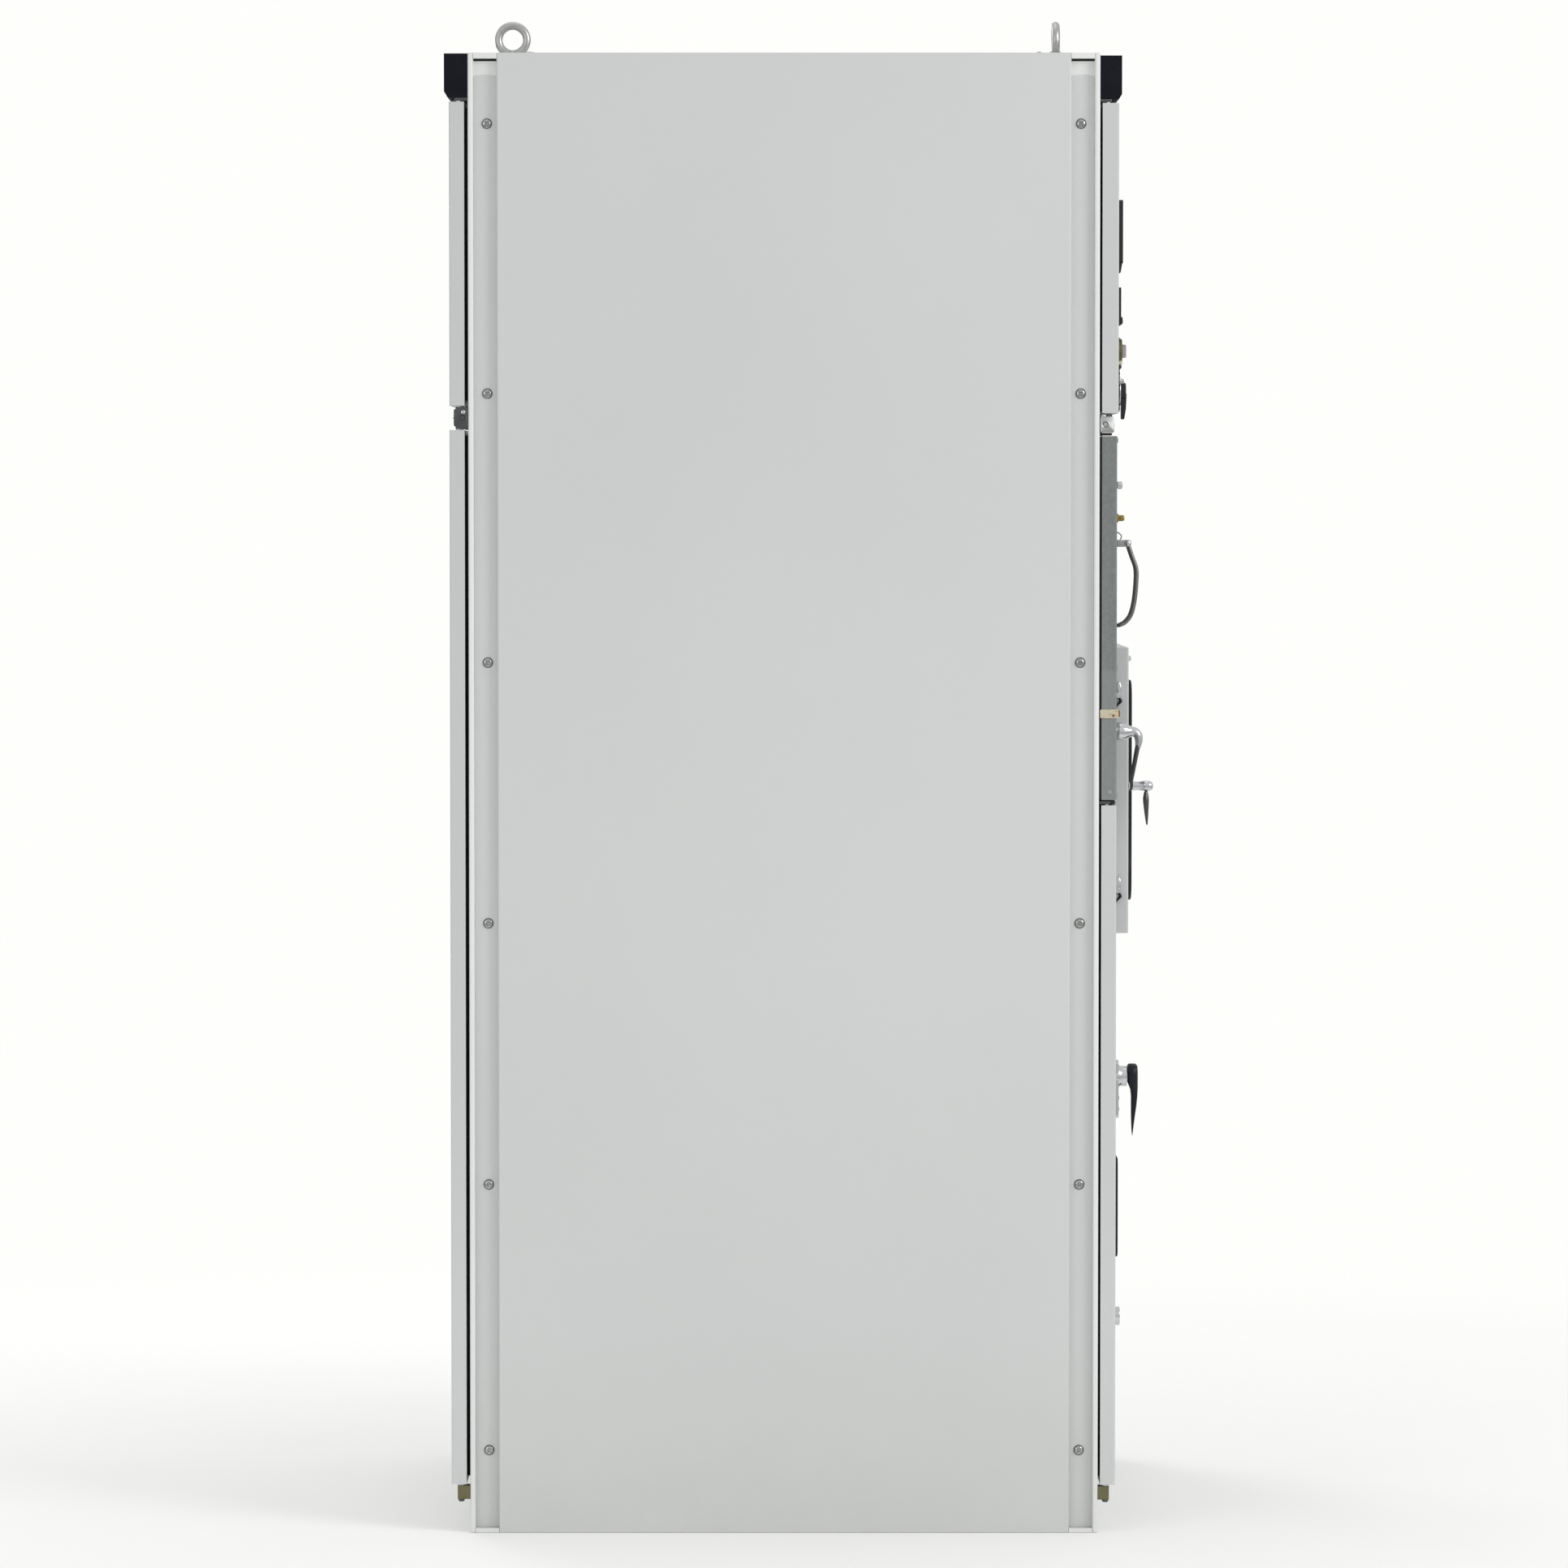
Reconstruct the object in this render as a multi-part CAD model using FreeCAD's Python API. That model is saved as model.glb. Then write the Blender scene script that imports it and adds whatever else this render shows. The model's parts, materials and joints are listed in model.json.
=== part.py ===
"""Switchboard cubicle: free-standing metal cabinet with isolator and circuit breaker.

Millimetres. X runs along the row of cubicles, the front faces -Y and Z is up.
The origin is the centre of the floor bolt pattern, on the floor.
"""
import FreeCAD, Part
import os

from FreeCAD import Vector

# Driving dimensions -----------------------------------------------------------

WIDTH = 800.0
DEPTH = 936.0
HEIGHT = 2200.0
SHEET = 2.0

LIP = 8.0                  # rounded outer lip of each corner post
STRIP = 35.0               # recessed strip between the lip and the side panel
STRIP_DEPTH = 12.0
FLANGE = 1.5               # thickness of the side panel's screwed flange
POST_INNER = 43.0          # how far a post reaches into the cabinet, in X
RAIL_DEPTH = 40.0          # depth of the front and rear rails, in Y
BASE_LIP = 6.6
TOP_LIP = 8.4
BASE_HEIGHT = 95.0
TOP_RAIL_Z = 2105.0
ROOF_Z = 2194.0
ROOF_SHEET = 2.5

BOLT_X = 335.0             # half the floor bolt spacing
BOLT_Y = 400.0
BOLT_HOLE_R = 7.0
EYE_X = 305.0
EYE_Y = 405.0
EYE_SHANK_R = 6.0

DOOR_X = WIDTH / 2 - 2.0
FRONT_GAP = 3.5            # gap between the frame and the front doors
REAR_GAP = 5.5
DOOR_DEPTH = 22.5
HINGE_EDGE = 7.0           # hinge axis to the door's hinge edge
HINGE_FACE = 8.0           # hinge axis to the door's inner face
PIN_R = 3.0
PIN_BORE_R = 3.06
RUNNING_GAP = 0.3

DIVIDER_X0 = -245.0        # column divider behind the front doors
DIVIDER_X1 = -132.0
LEFT_EDGE_X = -172.0       # right edge of the mechanism column
MECHANISM_EDGE_X = -228.0  # right edge of the mechanism column's door
RIGHT_EDGE_X = -152.0      # left edge of the breaker column's doors

INSTRUMENT_Z = (1668.0, 2126.0)
MECHANISM_Z = (1094.0, 1634.0)
MECHANISM_DOOR_Z = (71.0, 1086.0)
MIMIC_Z = (1323.0, 1634.0)
BREAKER_Z = (880.0, 1315.0)
CABLE_Z = (71.0, 872.0)
REAR_UPPER_Z = (1679.0, 2128.0)
REAR_LOWER_Z = (72.0, 1643.0)

# Lower and upper edges of the rails between the doors
HEAD_RAIL_Z = (1628.0, 1682.0)
MECHANISM_RAIL_Z = (1070.0, 1110.0)
MIMIC_RAIL_Z = (1299.0, 1339.0)
CABLE_RAIL_Z = (854.0, 898.0)
REAR_RAIL_Z = (1622.0, 1700.0)

FRONT_FRAME = -DEPTH / 2
REAR_FRAME = DEPTH / 2
FRONT_BACK = FRONT_FRAME - FRONT_GAP            # inner face of the front doors
FRONT_FACE = FRONT_BACK - DOOR_DEPTH            # outer face of the front doors
INSTRUMENT_FACE = FRONT_FACE - 2.0
BREAKER_FACE = FRONT_FACE - 31.0                # the breaker door stands proud
REAR_BACK = REAR_FRAME + REAR_GAP
REAR_FACE = REAR_BACK + DOOR_DEPTH
FRONT_AXIS_Y = FRONT_BACK - HINGE_FACE
REAR_AXIS_Y = REAR_BACK + HINGE_FACE
LEFT_AXIS_X = -DOOR_X + HINGE_EDGE
RIGHT_AXIS_X = DOOR_X - HINGE_EDGE

PHASE_X = (-45.0, 110.0, 265.0)

parts = {}


# Helpers ----------------------------------------------------------------------

def box(x0, x1, y0, y1, z0, z1):
    """Box between two corners, given in any order."""
    low = Vector(min(x0, x1), min(y0, y1), min(z0, z1))
    return Part.makeBox(abs(x1 - x0), abs(y1 - y0), abs(z1 - z0), low)


def cyl(centre, r, length, axis=(0, 0, 1)):
    """Cylinder that starts at centre and runs along axis."""
    return Part.makeCylinder(r, length, Vector(*centre), Vector(*axis))


def cone(centre, r0, r1, length, axis=(0, 0, 1)):
    return Part.makeCone(r0, r1, length, Vector(*centre), Vector(*axis))


def fuse(*shapes):
    """One solid from shapes that touch or overlap."""
    whole = shapes[0].multiFuse(list(shapes[1:]))
    return whole.removeSplitter()


def cut(shape, *tools):
    return shape.cut(list(tools)) if tools else shape


def group(shapes):
    """Separate solids that share a node."""
    return Part.makeCompound([solid for shape in shapes for solid in shape.Solids])


def round_edges(shape, r, along, where=None):
    """Fillet the straight edges that run along an axis, and that the test accepts."""
    direction = Vector(*along)
    chosen = []
    for edge in shape.Edges:
        if edge.Curve.TypeId != "Part::GeomLine":
            continue
        span = edge.Vertexes[1].Point - edge.Vertexes[0].Point
        middle = (edge.Vertexes[1].Point + edge.Vertexes[0].Point) * 0.5
        if abs(abs(span.normalize().dot(direction)) - 1.0) > 1e-6:
            continue
        if where is None or where(middle):
            chosen.append(edge)
    return shape.makeFillet(r, chosen) if chosen else shape


def mirror_x(shape):
    return shape.mirror(Vector(0, 0, 0), Vector(1, 0, 0))


def mirror_y(shape):
    return shape.mirror(Vector(0, 0, 0), Vector(0, 1, 0))


def four_corners(shape):
    """The shape and its mirror images in the other three corners of the plan."""
    left = [shape, mirror_y(shape)]
    return left + [mirror_x(one) for one in left]


def channel(x0, x1, y0, y1, z0, z1, along, wall=2.0):
    """Steel channel with its web at the front and its back open."""
    outer = box(x0, x1, y0, y1, z0, z1)
    if along == "x":
        inner = box(x0 - 1, x1 + 1, y0 + wall, y1 + 1, z0 + wall, z1 - wall)
    else:
        inner = box(x0 + wall, x1 - wall, y0 + wall, y1 + 1, z0 - 1, z1 + 1)
    return outer.cut(inner)


def prism_x(points, x0, x1):
    """Solid with an outline in the YZ plane, from x0 to x1."""
    corners = [Vector(x0, y, z) for y, z in points]
    face = Part.Face(Part.makePolygon(corners + corners[:1]))
    return face.extrude(Vector(x1 - x0, 0, 0))


def lathe_y(profile, x, z, y=0.0):
    """Turned solid about an axis along -Y: profile points are (radius, distance out)."""
    points = [Vector(x + r, y - out, z) for r, out in profile]
    face = Part.Face(Part.makePolygon(points + points[:1]))
    return face.revolve(Vector(x, y, z), Vector(0, 1, 0), 360)


# Frame ------------------------------------------------------------------------

STRIP_FACE = -WIDTH / 2 + STRIP_DEPTH              # face of the panel's flange
POST_FACE = STRIP_FACE + FLANGE                    # side face of a post
POST_X = -WIDTH / 2 + POST_INNER                   # inner face of a post
STRIP_OUTER = DEPTH / 2 - LIP                      # outer edge of the strip
STRIP_INNER = STRIP_OUTER - STRIP
SCREW_Y = STRIP_INNER + 15.0
SCREW_Z = (122.0, 520.0, 910.0, 1298.0, 1697.0, 2096.0)
SCREW_R = 3.0
SCREW_HEAD_R = 7.0
SCREW_HEAD = 3.6


def corner_post():
    """Left front post: hollow box with a rounded lip on its outer corner."""
    wall = 2.5
    tube = box(POST_FACE, POST_X, FRONT_FRAME, -STRIP_INNER, 0, HEIGHT)
    hollow = box(POST_FACE + wall, POST_X - wall, FRONT_FRAME + wall,
                 -STRIP_INNER - wall, -1, HEIGHT - wall)
    lip = box(-WIDTH / 2, POST_FACE, FRONT_FRAME, -STRIP_OUTER, 0, HEIGHT)
    post = fuse(tube, lip).cut(hollow)
    post = round_edges(post, 3.0, (0, 0, 1), lambda p: p.x < -WIDTH / 2 + 0.1)
    holes = [cyl((POST_FACE - 1, -SCREW_Y, z), SCREW_R + 0.1, wall + 2, (1, 0, 0))
             for z in SCREW_Z]
    return cut(post, *holes)


def corner_bracket():
    """Patch that closes the strip under the top lip, with a curved lower edge."""
    plate = box(STRIP_FACE, POST_FACE, -STRIP_OUTER, -STRIP_INNER, 2165.4, ROOF_Z - 2.4)
    scoop = cyl((STRIP_FACE - 1, -STRIP_OUTER + STRIP / 2, 2165.4 - 96.0), 98.5, 4, (1, 0, 0))
    return plate.cut(scoop)


def base_frame():
    """Four base rails, corner foot plates and the lips of the strips."""
    side_y = STRIP_INNER
    rail_back = FRONT_FRAME + RAIL_DEPTH
    front = channel(POST_X, -POST_X, FRONT_FRAME, rail_back, 0, BASE_HEIGHT, "x", 3.0)
    side = box(POST_FACE, POST_X, -side_y, side_y, 0, BASE_HEIGHT)
    side = side.cut(box(POST_FACE + 3, POST_X + 1, -side_y - 1, side_y + 1, 3, BASE_HEIGHT - 3))
    foot = box(POST_X, POST_X + 75, rail_back, -side_y + 65, 0, 5)
    foot = foot.cut(cyl((-BOLT_X, -BOLT_Y, -1), BOLT_HOLE_R, 7))
    lip = box(STRIP_FACE - STRIP_DEPTH, POST_FACE, -STRIP_OUTER, -STRIP_INNER, 0, BASE_LIP - 0.4)
    pieces = [front, mirror_y(front), side, mirror_x(side)]
    pieces += four_corners(foot)
    return group(pieces + four_corners(lip))


def top_frame():
    """Four top rails, the front and rear ones lipped, and the eyebolts' corner plates."""
    side_y = STRIP_INNER
    rail_back = FRONT_FRAME + RAIL_DEPTH
    front = channel(POST_X, -POST_X, FRONT_FRAME, rail_back, TOP_RAIL_Z, ROOF_Z, "x")
    side = box(POST_FACE, POST_X, -side_y, side_y, TOP_RAIL_Z, ROOF_Z)
    side = side.cut(box(POST_FACE + 2, POST_X + 1, -side_y - 1, side_y + 1,
                        TOP_RAIL_Z + 2, ROOF_Z - 2))
    plate = box(POST_X, -EYE_X + 30, rail_back, -side_y + 50, ROOF_Z - 10, ROOF_Z)
    plate = plate.cut(cyl((-EYE_X, -EYE_Y, ROOF_Z - 11), EYE_SHANK_R + 0.2, 12))
    front = fuse(front, box(POST_X, -POST_X, FRONT_FRAME, -STRIP_OUTER, ROOF_Z, HEIGHT))
    pieces = [front, mirror_y(front), side, mirror_x(side)]
    pieces += four_corners(plate)
    strip_lip = box(-WIDTH / 2, POST_FACE, -STRIP_OUTER, -STRIP_INNER, HEIGHT - TOP_LIP, HEIGHT)
    return group(pieces + four_corners(strip_lip))


def side_panel():
    """Left side panel: a shallow pan with a screwed flange along each post."""
    pan = box(-WIDTH / 2, STRIP_FACE + FLANGE, -STRIP_INNER, STRIP_INNER, 0, HEIGHT)
    pan = round_edges(pan, 2.5, (0, 0, 1), lambda p: p.x < -WIDTH / 2 + 0.1)
    hollow = box(-WIDTH / 2 + SHEET, 0, -STRIP_INNER + SHEET, STRIP_INNER - SHEET,
                 SHEET, HEIGHT - SHEET)
    pan = pan.cut(hollow)
    flange = box(STRIP_FACE, POST_FACE, -STRIP_OUTER + 0.2, -STRIP_INNER, BASE_LIP, 2165.0)
    holes = [cyl((STRIP_FACE - 1, -SCREW_Y, z), SCREW_R + 0.2, 4, (1, 0, 0)) for z in SCREW_Z]
    flange = cut(flange, *holes)
    return fuse(pan, flange, mirror_y(flange))


def panel_screw(z):
    """Pan head screw in the left front strip."""
    head = cyl((STRIP_FACE - SCREW_HEAD, -SCREW_Y, z), SCREW_HEAD_R, SCREW_HEAD, (1, 0, 0))
    outer = [edge for edge in head.Edges if edge.BoundBox.XMax < STRIP_FACE - SCREW_HEAD + 0.1]
    head = head.makeFillet(2.2, outer)
    shank = cyl((STRIP_FACE, -SCREW_Y, z), SCREW_R, 14, (1, 0, 0))
    return fuse(head, shank)


def roof_panel():
    """Roof sheet between the lips, with a bolted relief flap lying in it."""
    roof = box(POST_FACE, -POST_FACE, -STRIP_OUTER + 0.3, STRIP_OUTER - 0.3,
               ROOF_Z, ROOF_Z + ROOF_SHEET)
    roof = roof.cut(box(POST_FACE - 1, POST_X + 0.3, FRONT_FRAME, -STRIP_INNER + 0.3,
                        ROOF_Z - 1, HEIGHT))
    for corner in four_corners(box(POST_FACE - 1, POST_X + 0.3, FRONT_FRAME,
                                   -STRIP_INNER + 0.3, ROOF_Z - 1, HEIGHT))[1:]:
        roof = roof.cut(corner)
    for hole in four_corners(cyl((-EYE_X, -EYE_Y, ROOF_Z - 1), EYE_SHANK_R + 0.5, 6)):
        roof = roof.cut(hole)
    flap = box(-250, 250, -60, 240, ROOF_Z + ROOF_SHEET, ROOF_Z + ROOF_SHEET + 2)
    return group([roof, flap])


def eyebolt(turned):
    """Lifting eyebolt in the left front corner: shank, collar and ring."""
    seat = ROOF_Z + ROOF_SHEET
    ring_z = seat + 29.0
    shank = cyl((-EYE_X, -EYE_Y, seat - 30), EYE_SHANK_R, 31)
    collar = cone((-EYE_X, -EYE_Y, seat), 15, 10, 8)
    axis = Vector(0, 1, 0) if turned else Vector(1, 0, 0)
    ring = Part.makeTorus(21.0, 6.0, Vector(-EYE_X, -EYE_Y, ring_z), axis)
    return fuse(shank, collar, ring)


def header(y0, y1, z0, z1, chamfer):
    """Black header strip: a closed channel with a bevelled lower outer edge."""
    sign = 1 if y1 > y0 else -1
    outline = [(y0, z0), (y1 - sign * chamfer * 0.6, z0), (y1, z0 + chamfer), (y1, z1), (y0, z1)]
    outer = prism_x(outline, -DOOR_X, DOOR_X)
    wall = 3.0
    hollow = box(-DOOR_X + wall, DOOR_X - wall, y0, y1 - sign * 6, z0 + wall, z1 - wall)
    return outer.cut(hollow)


def cross_rail(x0, x1, z_range):
    """Front rail between two uprights."""
    return channel(x0, x1, FRONT_FRAME, FRONT_FRAME + RAIL_DEPTH, *z_range, "x")


def front_subframe():
    """Column divider and the cross rails between the doors."""
    divider = channel(DIVIDER_X0, DIVIDER_X1, FRONT_FRAME, FRONT_FRAME + RAIL_DEPTH,
                      BASE_HEIGHT, HEAD_RAIL_Z[0], "z")
    divider = divider.cut(cyl((CRANK[0], FRONT_FRAME - 1, CRANK[1]), SHAFT_R + 1.5, 6, (0, 1, 0)))
    rails = [cross_rail(POST_X, -POST_X, HEAD_RAIL_Z),
             cross_rail(POST_X, DIVIDER_X0, MECHANISM_RAIL_Z),
             cross_rail(DIVIDER_X1, -POST_X, MIMIC_RAIL_Z),
             cross_rail(DIVIDER_X1, -POST_X, CABLE_RAIL_Z),
             mirror_y(cross_rail(POST_X, -POST_X, REAR_RAIL_Z))]
    return group([divider] + rails)


# Hinges, keepers and seals ------------------------------------------------------

BLOCK_WALL = 5.5           # hinge axis to a hinge block's outer face
BLOCK_WIDE = 20.0
PIN_IN_DOOR = 14.0
PIN_COLLAR_R = 6.0
KEEPER_WIDE = 22.0
KEEPER_THICK = 2.5
KEEPER_HIGH = 60.0

# (side, z0, z1, pin down, pin up): side -1 is the left hinge axis, 1 the right
FRONT_BLOCKS = (
    (-1, 2127.5, 2131.5, True, False),
    (-1, 1642.0, 1667.0, False, True),
    (-1, 1088.0, 1092.0, True, False),
    (1, 1317.0, 1321.0, True, False),
    (1, 874.0, 878.0, True, True),
)
REAR_BLOCKS = (
    (-1, 2129.5, 2133.5, True, False),
    (-1, 1645.0, 1677.0, True, True),
)
BOTTOM_BLOCKS = ((-1, 49.0, 69.0), (1, 49.0, 69.0))
REAR_BOTTOM_BLOCKS = ((-1, 50.0, 70.0),)


def axis_x(side):
    return LEFT_AXIS_X if side < 0 else RIGHT_AXIS_X


def hinge_block(side, z0, z1, axis_out):
    """Bracket on the frame's face with a bored eye for the pin."""
    x = axis_x(side)
    x0 = x + side * (HINGE_EDGE + 0.5)
    x1 = x0 - side * BLOCK_WIDE
    outer = FRONT_FRAME - axis_out - BLOCK_WALL
    block = box(x0, x1, FRONT_FRAME, outer, z0, z1)
    block = round_edges(block, 3.0, (0, 0, 1), lambda p: p.y < outer + 0.1)
    return block.cut(cyl((x, FRONT_FRAME - axis_out, z0 - 1), PIN_R, z1 - z0 + 2))


def hinge_pin(side, z0, z1, axis_out, down, up):
    """Pin that passes through a bracket into the door above, below or both."""
    low = z0 - PIN_IN_DOOR if down else z0
    high = z1 + PIN_IN_DOOR if up else z1
    return cyl((axis_x(side), FRONT_FRAME - axis_out, low), PIN_R, high - low)


def all_hinges():
    """Dark brackets, bottom blocks and pins, front and rear."""
    front_out = FRONT_FRAME - FRONT_AXIS_Y
    rear_out = REAR_AXIS_Y - REAR_FRAME
    brackets = [hinge_block(s, a, b, front_out) for s, a, b, _, _ in FRONT_BLOCKS]
    brackets += [mirror_y(hinge_block(s, a, b, rear_out)) for s, a, b, _, _ in REAR_BLOCKS]
    blocks = [hinge_block(s, a, b, front_out) for s, a, b in BOTTOM_BLOCKS]
    blocks += [mirror_y(hinge_block(s, a, b, rear_out)) for s, a, b in REAR_BOTTOM_BLOCKS]
    pins = [hinge_pin(s, a, b, front_out, down, up) for s, a, b, down, up in FRONT_BLOCKS]
    pins += [mirror_y(hinge_pin(s, a, b, rear_out, down, up))
             for s, a, b, down, up in REAR_BLOCKS]
    pins += [hinge_pin(s, a, b, front_out, False, True) for s, a, b in BOTTOM_BLOCKS]
    pins += [mirror_y(hinge_pin(s, a, b, rear_out, False, True))
             for s, a, b in REAR_BOTTOM_BLOCKS]
    return brackets, blocks, pins


INSTRUMENT_LOCK = (315.0, 1897.0)
CABLE_LOCK = (-93.0, 480.0)
MECHANISM_LOCK = (-282.0, 310.0)
HANDLE = (-280.0, 672.5)
REAR_UPPER_LOCK = (315.0, 1903.0)
REAR_LOWER_LOCK = (315.0, 880.0)


def keeper(edge, away, z):
    """Plate that stands out of a post's inner edge for a lock's cam."""
    return box(edge, edge + away * KEEPER_WIDE, FRONT_FRAME, FRONT_FRAME + KEEPER_THICK,
               z - KEEPER_HIGH / 2, z + KEEPER_HIGH / 2)


def all_keepers():
    rear = [keeper(-POST_X, -1, REAR_UPPER_LOCK[1]), keeper(-POST_X, -1, REAR_LOWER_LOCK[1])]
    front = [keeper(-POST_X, -1, INSTRUMENT_LOCK[1]),
             keeper(DIVIDER_X1, 1, CABLE_LOCK[1]),
             keeper(DIVIDER_X0, -1, MECHANISM_LOCK[1]),
             keeper(DIVIDER_X0, -1, HANDLE[1])]
    return front + [mirror_y(one) for one in rear]


SEAL_INSET = 8.0           # door edge to the outside of its seal


def seal_ring(x0, x1, z_range, foot, gap=FRONT_GAP):
    """Sealing strip round a door opening, just clear of the shut door."""
    wide = 9.0
    z0 = z_range[0] + foot
    z1 = z_range[1] - SEAL_INSET
    outer = box(x0, x1, FRONT_FRAME, FRONT_FRAME - gap + RUNNING_GAP, z0, z1)
    return outer.cut(box(x0 + wide, x1 - wide, FRONT_FRAME + 1, FRONT_FRAME - gap - 1,
                         z0 + wide, z1 - wide))


def all_seals():
    post_seal = POST_X - 18.0
    left = MECHANISM_EDGE_X - 6.0
    right = RIGHT_EDGE_X + 6.0
    front = [seal_ring(post_seal, -post_seal, INSTRUMENT_Z, 4.0),
             seal_ring(post_seal, left, MECHANISM_DOOR_Z, 10.0),
             seal_ring(right, -post_seal, BREAKER_Z, 8.0),
             seal_ring(right, -post_seal, CABLE_Z, 10.0)]
    rear = [seal_ring(post_seal, -post_seal, REAR_UPPER_Z, 8.0, REAR_GAP),
            seal_ring(post_seal, -post_seal, REAR_LOWER_Z, 10.0, REAR_GAP)]
    return front + [mirror_y(one) for one in rear]


# Doors ----------------------------------------------------------------------------

RETURN = 12.0              # width of a door's folded return
SOCKET_HIGH = 25.0


def door_pan(x0, x1, z_range, face, side, cutouts=(), holes=(), back=FRONT_BACK,
             axis_y=FRONT_AXIS_Y, sockets=True):
    """Folded door: sheet face, four edges and returns, with pin sockets at its hinge edge."""
    z0, z1 = z_range
    pan = box(x0, x1, face, back, z0, z1)
    pan = round_edges(pan, 2.5, (0, 0, 1), lambda p: p.y < face + 0.1)
    inner = box(x0 + SHEET, x1 - SHEET, face + SHEET, back - SHEET, z0 + SHEET, z1 - SHEET)
    mouth = box(x0 + SHEET + RETURN, x1 - SHEET - RETURN, back - SHEET - 1, back + 1,
                z0 + SHEET + RETURN, z1 - SHEET - RETURN)
    pan = pan.cut([inner, mouth])
    if sockets:
        x = axis_x(side)
        ends = ((z0, z0 + SOCKET_HIGH), (z1 - SOCKET_HIGH, z1))
        lugs = [box(x - HINGE_EDGE, x + HINGE_EDGE, axis_y - 7.5, axis_y + 7.9, a, b)
                for a, b in ends]
        pan = fuse(pan, *lugs)
        bores = [cyl((x, axis_y, z0 - 1), PIN_BORE_R, PIN_IN_DOOR + 3),
                 cyl((x, axis_y, z1 - PIN_IN_DOOR - 2), PIN_BORE_R, PIN_IN_DOOR + 3)]
        pan = pan.cut(bores)
    for a, b, low, high in cutouts:
        pan = pan.cut(box(a, b, face - 1, face + SHEET + 1, low, high))
    for x, z, r in holes:
        pan = pan.cut(cyl((x, face - 1, z), r, SHEET + 2, (0, 1, 0)))
    return pan


LOCK_R = 10.0
LOCK_BORE_R = 10.4
CAM_LONG = 36.0


def quarter_turn(x, z, face, out=3.0, back=FRONT_FRAME + 8.0, cam=CAM_LONG):
    """Quarter-turn lock: flanged head with a key slot, barrel and a cam that points up."""
    head = cyl((x, face - out, z), 14.0, out - 0.05, (0, 1, 0))
    rim = [e for e in head.Edges if e.BoundBox.YMax < face - out + 0.1]
    head = head.makeFillet(min(1.2, out / 2), rim)
    barrel = cyl((x, face - 0.1, z), LOCK_R, back - face - 2, (0, 1, 0))
    plate = box(x - 7, x + 7, back - 3, back, z - 8, z + cam)
    slot = fuse(box(x - 1.2, x + 1.2, face - out - 1, face + 4, z - 7, z + 7),
                cyl((x, face - out - 1, z), 3.5, out + 5, (0, 1, 0)))
    return fuse(head, barrel, plate).cut(slot)


# Instrument door and its devices --------------------------------------------------

RELAY = (-340.0, -190.0, 1876.0, 1986.0)
DISPLAY = (-340.0, -244.0, 1800.0, 1856.0)
METER_X = (-60.0, 60.0, 180.0)
METER_Z = 1925.0
METER_HALF = 48.0
LAMP_X = (-80.0, -20.0, 40.0)
BUTTON_Z = 1770.0
OPEN_BUTTON_X = 120.0
CLOSE_BUTTON_X = 180.0
KEY_SWITCH = (-318.0, 1761.5)
CONTROL_SWITCH = (-312.0, 1702.0)
DEVICE_HOLE_R = 11.3


def framed_device(x0, x1, z0, z1, out, margin, depth, window=4.0):
    """Panel device: bezel on the door's face with a sunk front, and a case behind it."""
    face = INSTRUMENT_FACE
    bezel = box(x0, x1, face - out, face, z0, z1)
    bezel = round_edges(bezel, 4.0, (0, 1, 0))
    sunk = box(x0 + window, x1 - window, face - out - 1, face - out + 1.5,
               z0 + window, z1 - window)
    case = box(x0 + margin, x1 - margin, face, face + depth, z0 + margin, z1 - margin)
    return fuse(bezel.cut(sunk), case)


def protection_relay():
    """Relay with a wide bezel, a chin and a small reset pin at its lower edge."""
    x0, x1, z0, z1 = RELAY
    body = framed_device(x0, x1, z0 + 16, z1, 9.0, 10.0, 140.0, 7.0)
    face = INSTRUMENT_FACE
    chin = prism_x([(face, z0), (face - 5.5, z0 + 2), (face - 8.0, z0 + 16.5),
                    (face, z0 + 16.5)], x0, x1)
    return fuse(body, chin)


def display_unit():
    x0, x1, z0, z1 = DISPLAY
    body = framed_device(x0, x1, z0, z1, 6.4, 8.0, 70.0, 5.0)
    ledge = box(x0 + 1, x1 - 1, INSTRUMENT_FACE - 8.5, INSTRUMENT_FACE - 4, z0 + 1, z0 + 12)
    return fuse(body, round_edges(ledge, 1.5, (1, 0, 0)))


def panel_meter(x):
    body = framed_device(x - METER_HALF, x + METER_HALF, METER_Z - METER_HALF,
                         METER_Z + METER_HALF, 9.0, 6.0, 8.0, 6.0)
    can = cyl((x, INSTRUMENT_FACE + 8, METER_Z), 39.0, 45, (0, 1, 0))
    return fuse(body, can)


def indicator_lamp(x):
    """Domed lens in a ring, with its barrel and lamp holder."""
    profile = [(0, 13), (5, 12.4), (9, 10.2), (11, 7), (14.5, 6.4), (14.5, 0),
               (11, 0), (11, -40), (0, -40)]
    return lathe_y(profile, x, BUTTON_Z, INSTRUMENT_FACE)


def button_collar(x):
    """Fixed ring and barrel of a push button."""
    profile = [(11.5, 7), (14.5, 6.4), (14.5, 0), (11, 0), (11, -40), (9.5, -40), (9.5, 3),
               (11.5, 3)]
    return lathe_y(profile, x, BUTTON_Z, INSTRUMENT_FACE)


def button_cap(x):
    """Push button's cap and stem."""
    profile = [(0, 10), (9, 9.6), (10.8, 8.4), (10.8, 3.6 + 4.2), (8.6, 7.6), (8.6, -30),
               (0, -30)]
    return lathe_y(profile, x, BUTTON_Z, INSTRUMENT_FACE)


def key_switch_body():
    """Brass key switch: flanged collar with a ribbed neck."""
    x, z = KEY_SWITCH
    profile = [(6.2, 9), (9.5, 9), (11, 7.8), (11, 5.2), (14.5, 4.6), (16.5, 3.4), (16.5, 0),
               (11, 0), (11, -30), (6.2, -30)]
    return lathe_y(profile, x, z, INSTRUMENT_FACE)


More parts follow.
